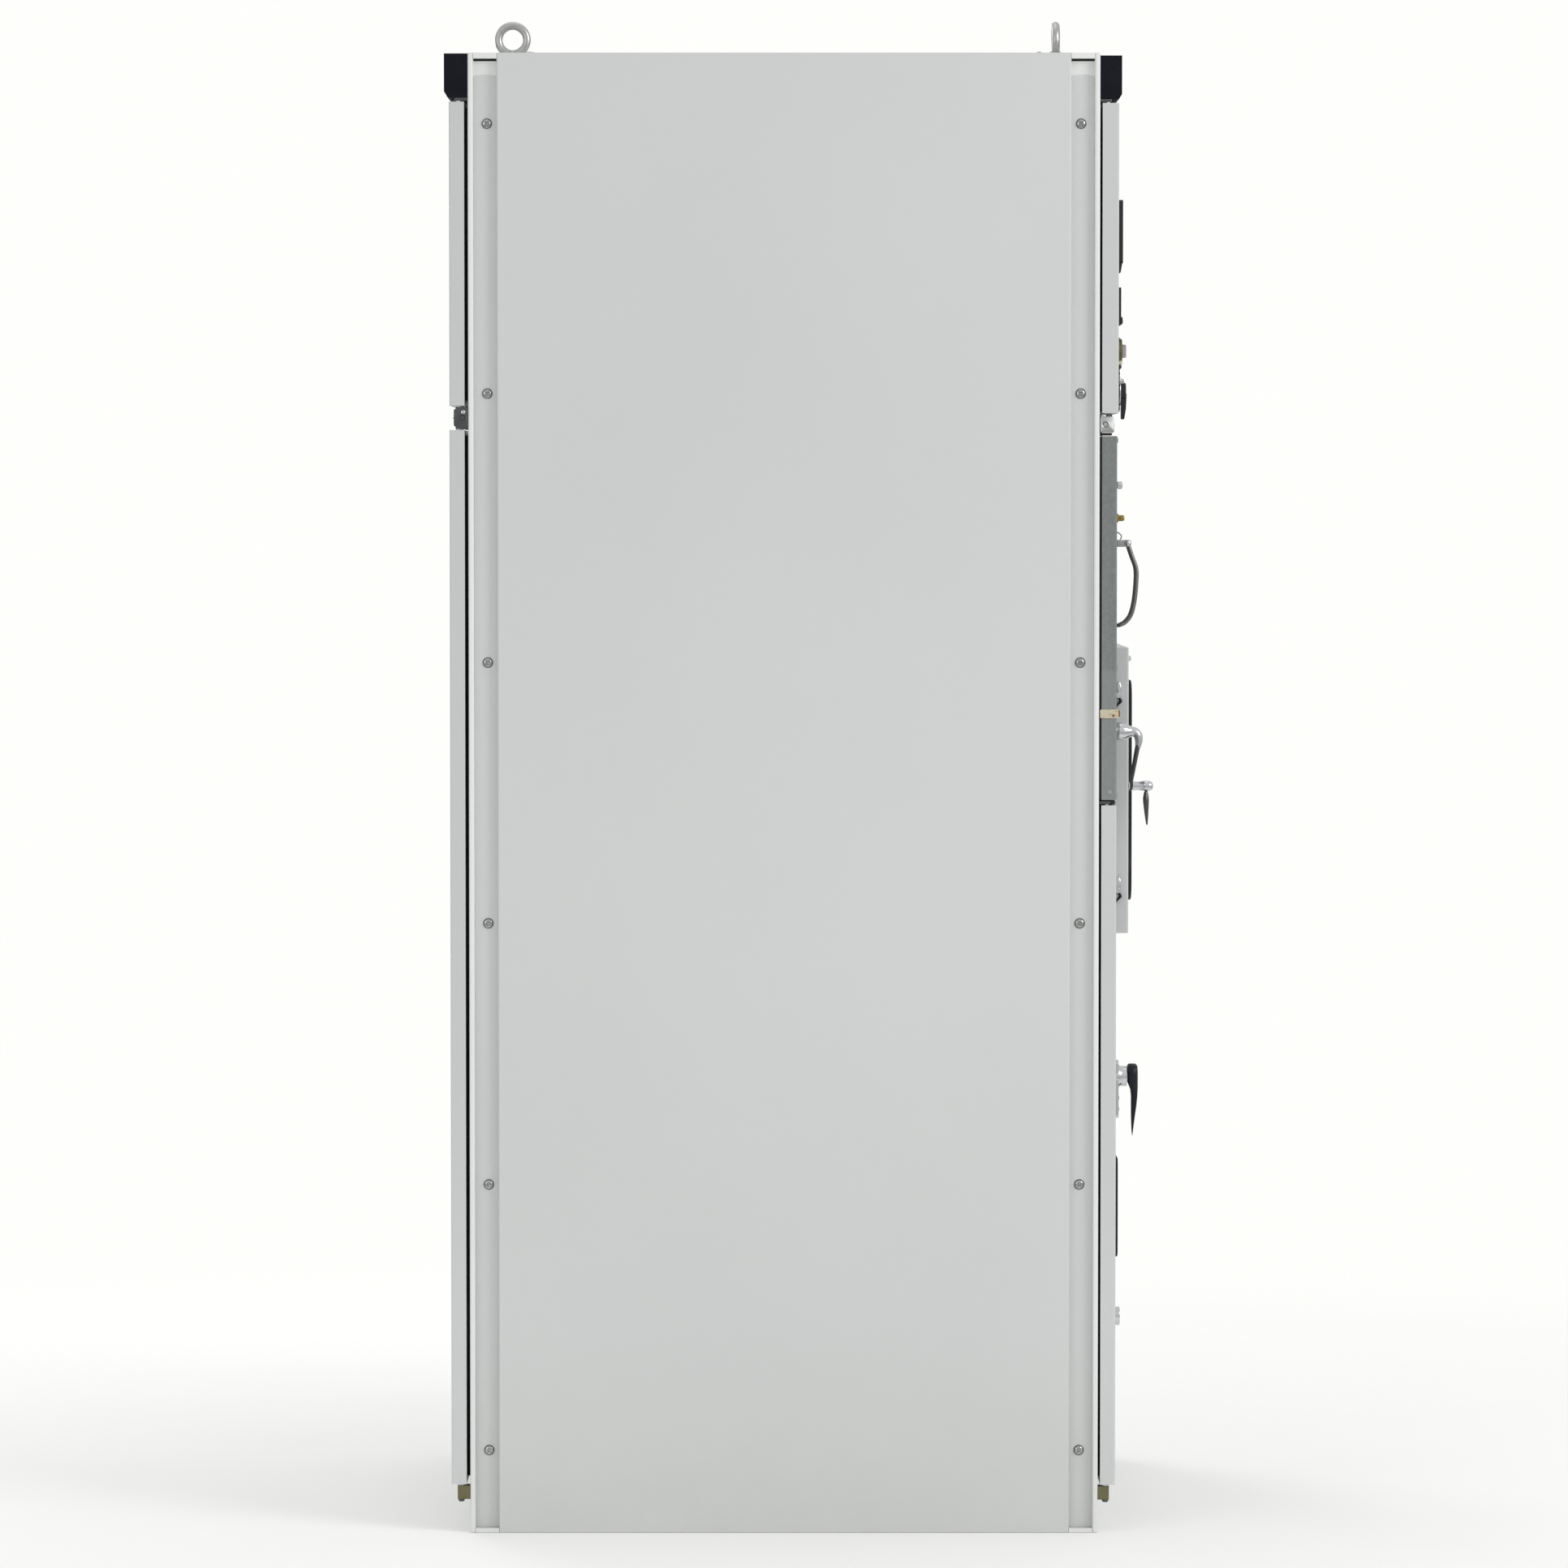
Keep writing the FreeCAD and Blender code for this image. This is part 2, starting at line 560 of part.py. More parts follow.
def key_switch_key():
    """Plug that turns in the switch, with the key in it."""
    x, z = KEY_SWITCH
    plug = cyl((x, INSTRUMENT_FACE - 10.0, z), 6.0, 36, (0, 1, 0))
    bow = box(x - 1.3, x + 1.3, INSTRUMENT_FACE - 15, INSTRUMENT_FACE - 9.5, z - 10, z + 10)
    bow = round_edges(bow, 2.5, (1, 0, 0), lambda p: p.y < INSTRUMENT_FACE - 12)
    return fuse(plug, bow)


def control_switch_plate():
    """Rotary switch: square plate, round collar and the case behind the door."""
    x, z = CONTROL_SWITCH
    face = INSTRUMENT_FACE
    plate = round_edges(box(x - 31, x + 31, face - 4.2, face, z - 31, z + 31), 4.0, (0, 1, 0))
    collar = cyl((x, face - 5.6, z), 19.0, 2, (0, 1, 0))
    case = box(x - 17.5, x + 17.5, face + SHEET, face + 70, z - 17.5, z + 17.5)
    neck = cyl((x, face - 1, z), DEVICE_HOLE_R - 0.3, 4, (0, 1, 0))
    bore = cyl((x, face - 8, z), 5.2, 40, (0, 1, 0))
    return fuse(plate, collar, case, neck).cut(bore)


def control_switch_handle():
    """Switch handle: hub, spindle and a grip that hangs below the door's edge."""
    x, z = CONTROL_SWITCH
    face = INSTRUMENT_FACE - 6.0
    spindle = cyl((x, face - 2, z), 5.0, 36, (0, 1, 0))
    hub = cyl((x, face - 9, z), 12.5, 9, (0, 1, 0))
    rim = [e for e in hub.Edges if e.BoundBox.YMax < face - 8.9]
    hub = hub.makeFillet(2.0, rim)
    outline = [(face - 1.5, z - 4), (face - 10, z - 4), (face - 9, z - 26),
               (face - 6.5, z - 42), (face - 1.5, z - 42)]
    grip = prism_x(outline, x - 5.5, x + 5.5)
    grip = round_edges(grip, 2.0, (1, 0, 0), lambda p: p.z < z - 20)
    crest = prism_x([(face - 1.5, z + 4), (face - 9, z + 4), (face - 5, z + 18),
                     (face - 1.5, z + 18)], x - 5.5, x + 5.5)
    return fuse(spindle, hub, grip, crest)


def instrument_door():
    x0, x1, z0, z1 = RELAY
    relay_hole = (x0 + 9.5, x1 - 9.5, z0 + 25.5, z1 - 9.5)
    a0, a1, b0, b1 = DISPLAY
    display_hole = (a0 + 7.5, a1 - 7.5, b0 + 7.5, b1 - 7.5)
    meter_holes = [(x - METER_HALF + 5.5, x + METER_HALF - 5.5,
                    METER_Z - METER_HALF + 5.5, METER_Z + METER_HALF - 5.5) for x in METER_X]
    round_holes = [(x, BUTTON_Z, DEVICE_HOLE_R)
                   for x in LAMP_X + (OPEN_BUTTON_X, CLOSE_BUTTON_X)]
    round_holes += [KEY_SWITCH + (DEVICE_HOLE_R,), CONTROL_SWITCH + (DEVICE_HOLE_R,)]
    round_holes += [INSTRUMENT_LOCK + (LOCK_BORE_R,)]
    return door_pan(-DOOR_X, DOOR_X, INSTRUMENT_Z, INSTRUMENT_FACE, -1,
                    [relay_hole, display_hole] + meter_holes, round_holes)


# Mechanism panel and its controls -------------------------------------------------

CRANK = (-205.0, 1189.5)
CRANK_ARM = 82.5
SHAFT_R = 7.0
PLUNGER = (-350.0, 1561.5)
INTERLOCK = (-350.0, 1512.5)
BAIL_X = (-352.0, -312.0)
BAIL_PIVOT = (-512.7, 1475.0)      # (Y, Z) of the bail's pivot axis
BAIL_R = 2.5
BAIL_GRIP = (-497.4, 1352.5)


def mechanism_panel():
    """Fixed galvanised panel of the mechanism column, on feet that meet the frame."""
    holes = [CRANK + (13.5,), PLUNGER + (4.0,), INTERLOCK + (4.0,)]
    pan = door_pan(-DOOR_X, LEFT_EDGE_X, MECHANISM_Z, FRONT_FACE, -1, (), holes, sockets=False)
    feet = [box(x0, x1, FRONT_BACK - SHEET, FRONT_FRAME, z0, z0 + 20)
            for x0, x1 in ((-385, -365), (LEFT_EDGE_X - 16, LEFT_EDGE_X - 4))
            for z0 in (MECHANISM_Z[0] + 2, MECHANISM_Z[1] - 22)]
    return fuse(pan, *feet)


def column_strip():
    """Fixed strip beside the mechanism column's door."""
    strip = door_pan(MECHANISM_EDGE_X + 4.0, LEFT_EDGE_X, MECHANISM_DOOR_Z, FRONT_FACE, 1,
                     sockets=False)
    feet = [box(LEFT_EDGE_X - 16, LEFT_EDGE_X - 4, FRONT_BACK - SHEET, FRONT_FRAME, z, z + 12)
            for z in (MECHANISM_DOOR_Z[0] + 30, MECHANISM_DOOR_Z[1] - 42)]
    return fuse(strip, *feet)


def mimic_panel():
    """Fixed panel above the breaker door."""
    pan = door_pan(RIGHT_EDGE_X, DOOR_X, MIMIC_Z, FRONT_FACE, 1, sockets=False)
    feet = [box(x0, x1, FRONT_BACK - SHEET, FRONT_FRAME, z0, z0 + 12)
            for x0, x1 in ((RIGHT_EDGE_X + 2, RIGHT_EDGE_X + 16), (365, 385))
            for z0 in (MIMIC_Z[0] + 2, MIMIC_Z[1] - 14)]
    return fuse(pan, *feet)


def bearing_plate():
    """Flanged bearing of the crank, bolted to the mechanism panel."""
    x, z = CRANK
    plate = round_edges(box(x - 26, x + 26, FRONT_FACE - 3, FRONT_FACE, z - 26, z + 26), 5.0,
                        (0, 1, 0))
    sleeve = cyl((x, FRONT_FACE - 5, z), 13.0, 25, (0, 1, 0))
    return fuse(plate, sleeve).cut(cyl((x, FRONT_FACE - 8, z), SHAFT_R + 0.1, 60, (0, 1, 0)))


def bail_knuckle(x):
    """Lug on the panel that carries one end of the bail."""
    y, z = BAIL_PIVOT
    base = box(x + 4.2, x + 12.2, y, FRONT_FACE, z - 8, z + 8)
    nose = cyl((x + 4.2, y, z), 8.0, 8, (1, 0, 0))
    pin_hole = cyl((x + 3, y, z), BAIL_R + 0.06, 12, (1, 0, 0))
    return fuse(base, nose).cut(pin_hole)


def side_clip():
    """Zinc clip bent round the panel's edge, with its screw."""
    clip = box(-WIDTH / 2 + 0.6, -DOOR_X, FRONT_FACE, FRONT_FACE + 18, 1214, 1226)
    hole = cyl((-WIDTH / 2, FRONT_FACE + 5, 1220), 2.6, 3, (1, 0, 0))
    screw = cyl((-WIDTH / 2, FRONT_FACE + 5, 1220), 2.5, 2, (1, 0, 0))
    return [clip.cut(hole), screw]


def pawl():
    """Small spring pawl above the bail's pivot."""
    x, z = BAIL_X[0], 1487.0
    return prism_x([(FRONT_FACE, z - 4), (FRONT_FACE - 7, z - 3), (FRONT_FACE - 9, z),
                    (FRONT_FACE - 6, z + 3), (FRONT_FACE, z + 4)], x - 4, x + 4)


def crank():
    """Crank: shaft, hub with a domed end, and a curved tapered arm that hangs down."""
    x, z = CRANK
    face = FRONT_FACE
    hub = lathe_y([(0, 49.9), (5, 48.9), (9, 45.8), (11.5, 41), (13, 35), (13, 6), (0, 6)],
                  x, z, face)
    shaft = cyl((x, face - 7, z), SHAFT_R, 96, (0, 1, 0))
    upper = [(face - 46.5, z - 2), (face - 47.5, z - 24), (face - 45.0, z - 50),
             (face - 41.5, z - 73), (face - 40.5, z - CRANK_ARM - 7)]
    lower = [(face - 35.5, z - CRANK_ARM - 7), (face - 36.0, z - 73), (face - 38.5, z - 50),
             (face - 40.0, z - 24), (face - 38.5, z - 2)]
    arm = prism_x(upper + lower, x - 8, x + 8)
    eye = cyl((x, face - 35.5, z - CRANK_ARM), 10.5, 5, (0, -1, 0))
    arm = fuse(arm, eye).cut(cyl((x, face - 25, z - CRANK_ARM), 4.08, 30, (0, -1, 0)))
    return fuse(hub, shaft, arm)


def crank_grip():
    """Spindle with a rounded end, and the tapered drop grip that hangs from it."""
    x, z = CRANK[0], CRANK[1] - CRANK_ARM
    face = FRONT_FACE
    spindle = lathe_y([(0, 65.2), (4, 64.4), (6.6, 61.9), (7.5, 58.4), (7.5, 41.9), (4, 41.9),
                       (4, 35.1), (7.0, 35.1), (7.0, 31.5), (0, 31.5)], x, z, face)
    outline = [(face - 48.5, z + 2), (face - 48.5, z - 14), (face - 50, z - 41),
               (face - 51.5, z - 61), (face - 55.5, z - 61), (face - 56.9, z - 41),
               (face - 56.9, z + 2)]
    grip = prism_x(outline, x - 6, x + 6)
    grip = round_edges(grip, 2.0, (1, 0, 0), lambda p: p.z < z - 50)
    return fuse(spindle, grip)


def bail_arm(x):
    """Side of the bail: a bent round bar from its pivot out, down and back to the panel."""
    points = [Vector(x, *BAIL_PIVOT), Vector(x, -525.7, 1436), Vector(x, -522.5, 1386),
              Vector(x, -514.0, 1361), Vector(x, *BAIL_GRIP)]
    pieces = [Part.makeSphere(BAIL_R + 0.15, point) for point in points]
    for start, end in zip(points, points[1:]):
        pieces.append(Part.makeCylinder(BAIL_R, (end - start).Length, start, end - start))
    return pieces


def bail_handle():
    """Bail: two bent sides, their pivot pins and the cross grip that rests on the panel."""
    left, right = BAIL_X
    y, z = BAIL_PIVOT
    sides = [piece for x in BAIL_X for piece in bail_arm(x)]
    grip = cyl((left,) + BAIL_GRIP, BAIL_R, right - left, (1, 0, 0))
    pins = [cyl((left, y, z), BAIL_R, 12.0, (1, 0, 0)),
            cyl((right, y, z), BAIL_R, 12.0, (-1, 0, 0))]
    return fuse(*(sides + [grip] + pins))


def plunger_knob():
    """Pull knob on a rod through the panel."""
    profile = [(0, 10.6), (4.5, 10.0), (5.5, 8.4), (5.5, 3.2), (3.8, 1.5), (3.8, -30), (0, -30)]
    return lathe_y(profile, PLUNGER[0], PLUNGER[1], FRONT_FACE)


def interlock_key():
    """Brass interlock key: collar, stem and cross bar."""
    profile = [(0, 13.7), (3.2, 13.0), (4.5, 11.0), (4.5, 4.5), (6.5, 4.0), (6.5, 0.5),
               (3.8, 0.5), (3.8, -24), (0, -24)]
    turned = lathe_y(profile, INTERLOCK[0], INTERLOCK[1], FRONT_FACE)
    bar = box(INTERLOCK[0] - 9, INTERLOCK[0] + 9, FRONT_FACE - 11, FRONT_FACE - 7,
              INTERLOCK[1] - 3, INTERLOCK[1] + 3)
    return fuse(turned, bar)


# Mechanism door ---------------------------------------------------------------------

WINDOW = (-365.0, -255.0, 408.0, 557.5)


def window_unit(x0, x1, z0, z1, face, out, frame, pane, corner):
    """Window: rounded frame on the door's face, with its pane set in it."""
    outer = round_edges(box(x0, x1, face - out, face, z0, z1), corner, (0, 1, 0))
    hole = box(x0 + frame, x1 - frame, face - out - 1, face + 1, z0 + frame, z1 - frame)
    hole = round_edges(hole, max(corner - frame, 1.0), (0, 1, 0))
    glass = box(x0 + frame - 3, x1 - frame + 3, face - pane, face - pane + 3,
                z0 + frame - 3, z1 - frame + 3)
    return fuse(outer.cut(hole), glass)


def mechanism_window():
    return window_unit(*WINDOW, FRONT_FACE, 5.0, 14.0, 3.2, 12.0)


def mechanism_door():
    x0, x1, z0, z1 = WINDOW
    holes = [HANDLE + (12.4,), MECHANISM_LOCK + (LOCK_BORE_R,)]
    return door_pan(-DOOR_X, MECHANISM_EDGE_X, MECHANISM_DOOR_Z, FRONT_FACE, -1,
                    [(x0 + 10, x1 - 10, z0 + 10, z1 - 10)], holes)


def handle_plate():
    """Door plates behind the handle: a chrome boss on a long escutcheon."""
    x, z = HANDLE
    face = FRONT_FACE
    plate = round_edges(box(x - 17, x + 17, face - 9.4, face, z - 62, z + 24), 5.0, (0, 1, 0))
    boss = lathe_y([(15.2, 22.0), (15.2, 9.0), (9.5, 9.0), (9.5, 22.0)], x, z, face)
    bush = cyl((x, face - 9.4, z), 12.2, 12, (0, 1, 0))
    return fuse(plate, boss, bush).cut(cyl((x, face - 30, z), 9.5, 60, (0, 1, 0)))


def door_handle():
    """Handle: round head, tapered grip that hangs down, spindle and locking cam."""
    x, z = HANDLE
    face = FRONT_FACE
    head = cyl((x, face - 39.0, z), 18.5, 16.5, (0, 1, 0))
    rim = [e for e in head.Edges if e.BoundBox.YMax < face - 38.9]
    head = head.makeFillet(5.0, rim)
    outline = [(face - 22.5, z), (face - 22.5, z - 5), (face - 28.3, z - 19),
               (face - 28.3, z - 72), (face - 29.5, z - 87), (face - 31.5, z - 89),
               (face - 34.8, z - 60), (face - 38.5, z - 33), (face - 39.0, z)]
    grip = prism_x(outline, x - 10, x + 10)
    grip = round_edges(grip, 3.0, (0, 0, 1), lambda p: p.y < face - 30)
    spindle = cyl((x, face - 24, z), 9.44, 24 + 32.5, (0, 1, 0))
    cam = box(x - 8, x + 8, FRONT_FRAME + 5, FRONT_FRAME + 8, z - 10, z + 32)
    return fuse(head, grip, spindle, cam)


def mechanism_lock():
    """Small lock with a tall round head."""
    return quarter_turn(*MECHANISM_LOCK, FRONT_FACE, out=12.0, cam=30.0)


# Breaker door -----------------------------------------------------------------------

BREAKER_WINDOW = (-132.0, 148.0, 928.0, 1265.0)
LATCH_Z = (1243.0, 945.5)
LATCH_AXIS_Y = -509.0


def breaker_door():
    x0, x1, z0, z1 = BREAKER_WINDOW
    door = door_pan(RIGHT_EDGE_X, DOOR_X, BREAKER_Z, BREAKER_FACE, 1,
                    [(x0 + 14, x1 - 14, z0 + 14, z1 - 14)])
    bores = [cyl((RIGHT_EDGE_X - 1, LATCH_AXIS_Y, z), 5.1, 4, (1, 0, 0)) for z in LATCH_Z]
    screw = lathe_y([(0, 4.5), (2.5, 4.0), (4, 2.5), (4, 0), (0, 0)], RIGHT_EDGE_X + 10, 1299,
                    BREAKER_FACE)
    return fuse(door.cut(bores), screw)


def breaker_window():
    return window_unit(*BREAKER_WINDOW, BREAKER_FACE, 6.2, 20.0, 3.2, 30.0)


def breaker_latch(z):
    """Slim lever latch on the door's side: spindle, hub and a lever with a hooked foot."""
    x = RIGHT_EDGE_X - 0.4
    y = LATCH_AXIS_Y
    hub = cyl((x, y, z), 4.9, 9.0, (-1, 0, 0))
    spindle = cyl((x - 1, y, z), 3.5, 12, (1, 0, 0))
    lever = prism_x([(y - 4.4, z), (y - 4.8, z + 13), (y - 2.5, z + 19), (y + 2.5, z + 19.5),
                     (y + 4.5, z + 14), (y + 4.0, z - 6), (y + 6.0, z - 20), (y + 2.0, z - 22),
                     (y - 2.0, z - 10)], x - 8.5, x - 1)
    return fuse(hub, spindle, lever)


def latch_keeper(z):
    """Bracket on the divider that a breaker latch hooks."""
    foot = box(RIGHT_EDGE_X - 14, RIGHT_EDGE_X - 3, FRONT_FRAME, FRONT_FRAME - 2.5,
               z - 48, z - 20)
    arm = box(RIGHT_EDGE_X - 14, RIGHT_EDGE_X - 11, FRONT_FRAME, FRONT_FRAME - 24,
              z - 42, z - 32)
    return fuse(foot, arm)


# Cable door and rear doors ----------------------------------------------------------

def cable_door():
    return door_pan(RIGHT_EDGE_X, DOOR_X, CABLE_Z, FRONT_FACE, 1, (),
                    [CABLE_LOCK + (LOCK_BORE_R,)])


def rear_door(z_range, lock):
    """Full-width rear door, drawn as a front door and mirrored to the rear."""
    door = door_pan(-DOOR_X, DOOR_X, z_range, -REAR_FACE, -1, (), [lock + (LOCK_BORE_R,)],
                    back=-REAR_BACK, axis_y=-REAR_AXIS_Y)
    return mirror_y(door)


# Interior -----------------------------------------------------------------------------

INNER_X = -POST_X - 2.0
PARTITION_Y = -60.0
BEAM = 30.0
BEAM_X0, BEAM_X1 = -384.0, -359.0
BEAM_LEVELS = (590.0, 900.0, 1480.0)
CROSS_RAILS = ((590.0, 15.0), (590.0, 122.0), (900.0, -360.0), (900.0, -155.0), (280.0, 60.0))
SHAFT_Y, SHAFT_Z = 230.0, 1495.0
ISOLATOR_R = 15.0
BLADE_TOP = 1760.0
BAR_Z = (2060.0, 1980.0, 1900.0)
BAR_Y = 290.0
BAR_WIDE = 50.0
BAR_THICK = 10.0
BAR_POST_X = 300.0
BAR_POST_Y = 428.0
JAW_Z = (1725.0, 1765.0)
LINK_Z = 1440.0
COLUMN_SHEET_X = -163.0    # sheet between the mechanism column and the breaker
EARTH_BAR_Y = 430.0
DROPPER_Y = 254.0
COPPER = 8.0
POLE_Y = -50.0
POLE_R = 52.0
TERMINAL_Y = 78.0
GLAND_SHEET = 2.5
CABLE_R = 30.0
CONTROL_CABLE_R = 20.0
CONTROL_CABLE = (-270.0, -250.0)
EARTH_STUD = (300.0, 200.0)
EARTH_STUD_R = 6.0


def partition_panels():
    """Sheets that part the mechanism column, the instrument compartment and the rest."""
    floor_z = HEAD_RAIL_Z[1]
    base = BASE_HEIGHT + GLAND_SHEET
    rail_back = FRONT_FRAME + RAIL_DEPTH
    column_x = COLUMN_SHEET_X + SHEET
    column = box(COLUMN_SHEET_X, column_x, rail_back, PARTITION_Y, base, floor_z)
    column_back = box(-INNER_X, column_x, PARTITION_Y, PARTITION_Y + SHEET, base, floor_z)
    floor = box(-INNER_X, INNER_X, rail_back + 3, PARTITION_Y + SHEET, floor_z, floor_z + SHEET)
    back = box(-INNER_X, INNER_X, PARTITION_Y, PARTITION_Y + SHEET, floor_z + SHEET, TOP_RAIL_Z)
    return group([column, column_back, floor, back])


def mounting_rails():
    """Side beams between the posts, cross rails, busbar posts and shaft bearings."""
    solids = []
    for z in BEAM_LEVELS + (280.0,):
        beam = box(BEAM_X0, BEAM_X1, -STRIP_INNER, STRIP_INNER, z, z + BEAM)
        solids += [beam, mirror_x(beam)]
    for z, y in CROSS_RAILS:
        x0 = BEAM_X1 if y > PARTITION_Y else COLUMN_SHEET_X + SHEET
        solids.append(channel(x0, -BEAM_X1, y, y + BEAM, z, z + BEAM, "x"))
    for x in (-BAR_POST_X, BAR_POST_X):
        solids.append(channel(x - 15, x + 15, BAR_POST_Y, BAR_POST_Y + 18, REAR_RAIL_Z[1],
                              TOP_RAIL_Z, "z"))
    bearing = box(BEAM_X1, BEAM_X1 + 13, SHAFT_Y - 32, SHAFT_Y + 32, SHAFT_Z - 32, SHAFT_Z + 32)
    bore = cyl((BEAM_X1 - 1, SHAFT_Y, SHAFT_Z), ISOLATOR_R + 0.08, 20, (1, 0, 0))
    bearing = bearing.cut(bore)
    return group(solids + [bearing, mirror_x(bearing)])


def gland_plate():
    """Floor plate with three power cable bores and one control cable bore."""
    z = BASE_HEIGHT
    plate = box(-POST_X, POST_X, -STRIP_INNER + 1, STRIP_INNER - 1, z, z + GLAND_SHEET)
    plate = fuse(plate, box(POST_X - 20, -POST_X + 20, -380, 380, z, z + GLAND_SHEET))
    bores = [cyl((x, TERMINAL_Y, z - 1), CABLE_R, 5) for x in PHASE_X]
    bores.append(cyl(CONTROL_CABLE + (z - 1,), CONTROL_CABLE_R, 5))
    return plate.cut(bores)


def earth_bar():
    """Copper bar between the rear posts, with bolt holes, and a stud on its face."""
    x, z = EARTH_STUD
    bar = box(POST_X, -POST_X, EARTH_BAR_Y, EARTH_BAR_Y + 6, z - 20, z + 20)
    holes = [cyl((-x + 75 * i, EARTH_BAR_Y - 1, z), 5.5, 8, (0, 1, 0)) for i in range(7)]
    return group([bar.cut(holes), cyl((x, EARTH_BAR_Y, z), EARTH_STUD_R, 30, (0, -1, 0))])


def busbar(z):
    return box(-340, 340, BAR_Y, BAR_Y + BAR_THICK, z - BAR_WIDE / 2, z + BAR_WIDE / 2)


def post_insulator(x, z):
    """Ribbed insulator between a busbar and its post."""
    length = BAR_POST_Y - BAR_Y - BAR_THICK
    profile = [(0, 0)]
    ribs = 5
    pitch = length / ribs
    for i in range(ribs):
        start = i * pitch
        profile += [(20, start), (20, start + 6), (29, start + 11), (29, start + 15),
                    (20, start + pitch - 0.5)]
    profile += [(20, length), (0, length)]
    return lathe_y(profile, x, z, BAR_POST_Y)


def phase_conductors():
    """For each phase: dropper with its jaw, breaker link and outgoing bar."""
    solids = []
    jaw_y = 215.0
    for x, z in zip(PHASE_X, BAR_Z):
        solids.append(box(x - 20, x + 20, DROPPER_Y, DROPPER_Y + COPPER, JAW_Z[0], z + 20))
        solids.append(box(x - 20, x + 20, DROPPER_Y + COPPER, BAR_Y, z - 20, z + 20))
        solids.append(box(x + 4.6, x + 9.6, jaw_y, DROPPER_Y, *JAW_Z))
        solids.append(box(x - 9.6, x - 4.6, jaw_y, DROPPER_Y, *JAW_Z))
        solids.append(box(x - 20, x + 20, TERMINAL_Y, TERMINAL_Y + COPPER, 1300, LINK_Z))
        solids.append(box(x - 20, x + 20, TERMINAL_Y, 206, LINK_Z, LINK_Z + COPPER))
        outgoing = box(x - 20, x + 20, TERMINAL_Y, TERMINAL_Y + COPPER, 420, 1075)
        solids.append(outgoing.cut(cyl((x, TERMINAL_Y - 1, 445), 6.5, 12, (0, 1, 0))))
    return solids


def isolator_shaft():
    """Isolator shaft with its lever disc and one blade for each phase."""
    shaft = cyl((BEAM_X1 + 1, SHAFT_Y, SHAFT_Z), ISOLATOR_R, -2 * BEAM_X1 - 2, (1, 0, 0))
    pieces = [shaft, cyl((-300, SHAFT_Y, SHAFT_Z), 45, 8, (1, 0, 0))]
    for x in PHASE_X:
        pieces.append(cyl((x - 25, SHAFT_Y, SHAFT_Z), 24, 50, (1, 0, 0)))
        pieces.append(box(x - 4, x + 4, SHAFT_Y - 18, SHAFT_Y + 18, SHAFT_Z, BLADE_TOP))
    return fuse(*pieces)


def breaker_housing():
    """Breaker mechanism housing with its front plate and two push plates."""
    body = round_edges(box(-85, 305, -380, -125, 930, 1290), 8.0, (0, 0, 1))
    front = round_edges(box(-70, 290, -384, -379, 950, 1275), 10.0, (0, 1, 0))
    pads = [cyl((x, -383, 1180), 20, 7, (0, -1, 0)) for x in (30.0, 110.0)]
    charge = box(190, 215, -400, -383, 1000, 1120)
    return fuse(body, front, charge, *pads)


def breaker_pole(x):
    """Cast resin pole behind the housing, with its two terminal arms."""
    pole = cyl((x, POLE_Y, 945), POLE_R, 440)
    foot = box(x - 40, x + 40, -125, POLE_Y, 960, 1270)
    arms = [cyl((x, POLE_Y, z), 24, TERMINAL_Y - POLE_Y, (0, 1, 0)) for z in (1330.0, 1045.0)]
    fins = [cyl((x, POLE_Y, z), POLE_R + 8, 6) for z in (1120.0, 1160.0, 1200.0, 1240.0)]
    return fuse(pole, foot, *arms, *fins)


def current_transformer(x):
    """Resin block current transformer round an outgoing bar, on the cross rails."""
    y = TERMINAL_Y + COPPER / 2
    block = round_edges(box(x - 52, x + 52, y - 60, y + 60, 620, 740), 10.0, (0, 0, 1))
    window = box(x - 24, x + 24, y - 8, y + 8, 619, 741)
    return block.cut(window)


def terminal_rail():
    """Mounting rail in the instrument compartment, with terminals and small breakers."""
    rail = box(-300, 300, PARTITION_Y - 7.5, PARTITION_Y, 1750, 1785)
    terminals = box(-280, -40, -112, PARTITION_Y - 7.5, 1742, 1793)
    grooves = [box(-280 + 10 * i - 0.5, -280 + 10 * i + 0.5, -113, -95, 1741, 1794)
               for i in range(1, 24)]
    breakers = box(0, 108, -128, PARTITION_Y - 7.5, 1727, 1808)
    notches = [box(0 + 18 * i - 0.5, 18 * i + 0.5, -129, -100, 1726, 1809)
               for i in range(1, 6)]
    noses = [box(18 * i + 3, 18 * i + 15, -136, -127, 1755, 1780) for i in range(6)]
    return group([rail, terminals.cut(grooves), fuse(breakers.cut(notches), *noses)])


# Assembly -----------------------------------------------------------------------------

brackets, bottom_blocks, pins = all_hinges()
bracket_tail = all_keepers() + [latch_keeper(z) for z in LATCH_Z]
screws = [panel_screw(z) for z in SCREW_Z]
left_screws = screws + [mirror_y(screw) for screw in screws]
knuckles = [bail_knuckle(BAIL_X[0]), mirror_x(bail_knuckle(-BAIL_X[1]))]

parts["base_frame"] = base_frame()
parts["corner_posts"] = group(four_corners(corner_post()) + four_corners(corner_bracket()))
parts["top_frame"] = top_frame()
parts["front_subframe"] = front_subframe()
parts["side_panel_left"] = side_panel()
parts["side_panel_right"] = mirror_x(side_panel())
parts["side_panel_screws"] = group(left_screws + [mirror_x(one) for one in left_screws])
parts["roof_panel"] = roof_panel()
parts["lifting_eyebolts"] = group([eyebolt(True), mirror_x(eyebolt(True)),
                                   mirror_y(eyebolt(False)),
                                   mirror_x(mirror_y(eyebolt(False)))])
parts["header_strips"] = group([header(FRONT_FRAME, -500.0, 2132.0, 2196.0, 7.0),
                                header(REAR_FRAME, 503.0, 2134.0, 2199.0, 9.0)])
parts["hinge_and_lock_brackets"] = group(brackets + bracket_tail)
parts["bottom_hinge_blocks"] = group(bottom_blocks)
parts["hinge_pins"] = group(pins)
